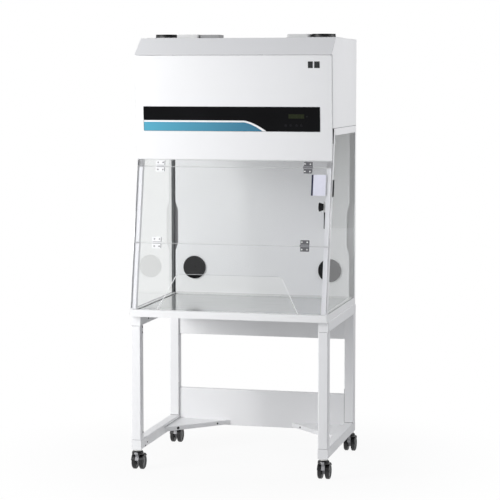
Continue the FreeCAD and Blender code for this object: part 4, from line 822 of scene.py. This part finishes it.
def camera():
    """A long lens at the front and the right of the hood, tilted a little down."""
    focal_pixels, picture_pixels = 1788.6, 500
    sensor = 36.0
    tilt, turn = 5.55, 13.75
    data = bpy.data.cameras.new("camera")
    data.sensor_width = sensor
    data.lens = focal_pixels / picture_pixels * sensor
    data.clip_end = 60.0
    obj = bpy.data.objects.new("camera", data)
    bpy.context.collection.objects.link(obj)
    obj.location = (2.1712, -8.4207 + FRONT, 1.9662)
    obj.rotation_euler = (math.radians(90 - tilt), 0, math.radians(turn))
    bpy.context.scene.camera = obj


def area(name, place, target, size, power, spread=math.pi):
    """A rectangular lamp that faces a target."""
    data = bpy.data.lights.new(name, "AREA")
    data.spread = spread
    data.shape = "RECTANGLE"
    data.size, data.size_y = size
    data.energy = power
    obj = bpy.data.objects.new(name, data)
    bpy.context.collection.objects.link(obj)
    obj.location = place
    obj.rotation_euler = (Vector(target) - Vector(place)).to_track_quat("-Z", "Y").to_euler()


def backdrop():
    """White to the camera; mirrored, it is bright behind and at the left, dim at the right and in front."""
    world = bpy.data.worlds.new("studio")
    bpy.context.scene.world = world
    world.use_nodes = True
    graph = Graph(world.node_tree)
    back = graph.tree.nodes["Background"]
    back.inputs["Color"].default_value = (0.93, 0.95, 1.0, 1)
    is_glossy = graph.add("ShaderNodeLightPath").outputs["Is Glossy Ray"]
    graph.link(graph.ramp(is_glossy, start=0.0, end=1.0, low=0.40, high=0.15), back.inputs["Strength"])
    x, y, _ = graph.parts(graph.add("ShaderNodeTexCoord").outputs["Generated"])
    behind = graph.ramp(y, start=-0.5, end=0.3, low=0.05, high=1.0)
    right = graph.ramp(x, start=0.05, end=0.2, low=1.0, high=0.25)
    left = graph.ramp(x, start=-0.21, end=-0.29, low=0.0, high=0.85)
    mirrored = graph.math("MAXIMUM", graph.math("MULTIPLY", behind, right), left)
    white = graph.white(back.outputs[0], 1.0, mirrored)
    graph.link(white, graph.tree.nodes["World Output"].inputs["Surface"])


def floor():
    """A floor that fades to white away from the hood, and is dimmer at the right where it is mirrored."""
    half = 14.0
    corners = [(-half, -half, 0), (half, -half, 0), (half, half, 0), (-half, half, 0)]
    mesh = bpy.data.meshes.new("floor")
    mesh.from_pydata(corners, [], [(0, 1, 2, 3)])
    obj = bpy.data.objects.new("floor", mesh)
    bpy.context.collection.objects.link(obj)
    n = Nodes("floor")
    n.shader.inputs["Base Color"].default_value = (0.62, 0.62, 0.62, 1)
    n.shader.inputs["Roughness"].default_value = 0.8
    x, y, _ = n.axes()
    away = n.math("SQRT", n.math("ADD", n.math("MULTIPLY", x, x), n.math("MULTIPLY", y, y)))
    fade = n.ramp(away, start=0.45, end=1.6, low=0.93, high=1.0, interpolation_type="SMOOTHSTEP")
    right = n.ramp(x, start=0.55, end=0.9, low=1.0, high=0.35)
    n.link(n.white(n.shader.outputs[0], fade, right), n.output.inputs["Surface"])
    obj.data.materials.append(n.material)


def studio():
    """The backdrop, the floor and two lamps."""
    backdrop()
    floor()
    area("key", place=(-2.8, -2.6, 2.0), target=(-0.1, 0, 1.3), size=(1.4, 2.6), power=129)
    area("fill", place=(2.8, 0.2, 2.3), target=(0.4, 0, 1.8), size=(1.0, 1.6), power=11.5,
         spread=math.radians(100))
    bpy.context.scene.view_settings.view_transform = "Standard"


camera()
dress_nodes()
hinge_screws()
hinge_lines()
sash_lines()
edge_beads()
panel_graphics()
door_plates()
sash_plate()
chamber_panel()
joint_lines()
stand_screws()
caster_caps()
door_lip()
studio()
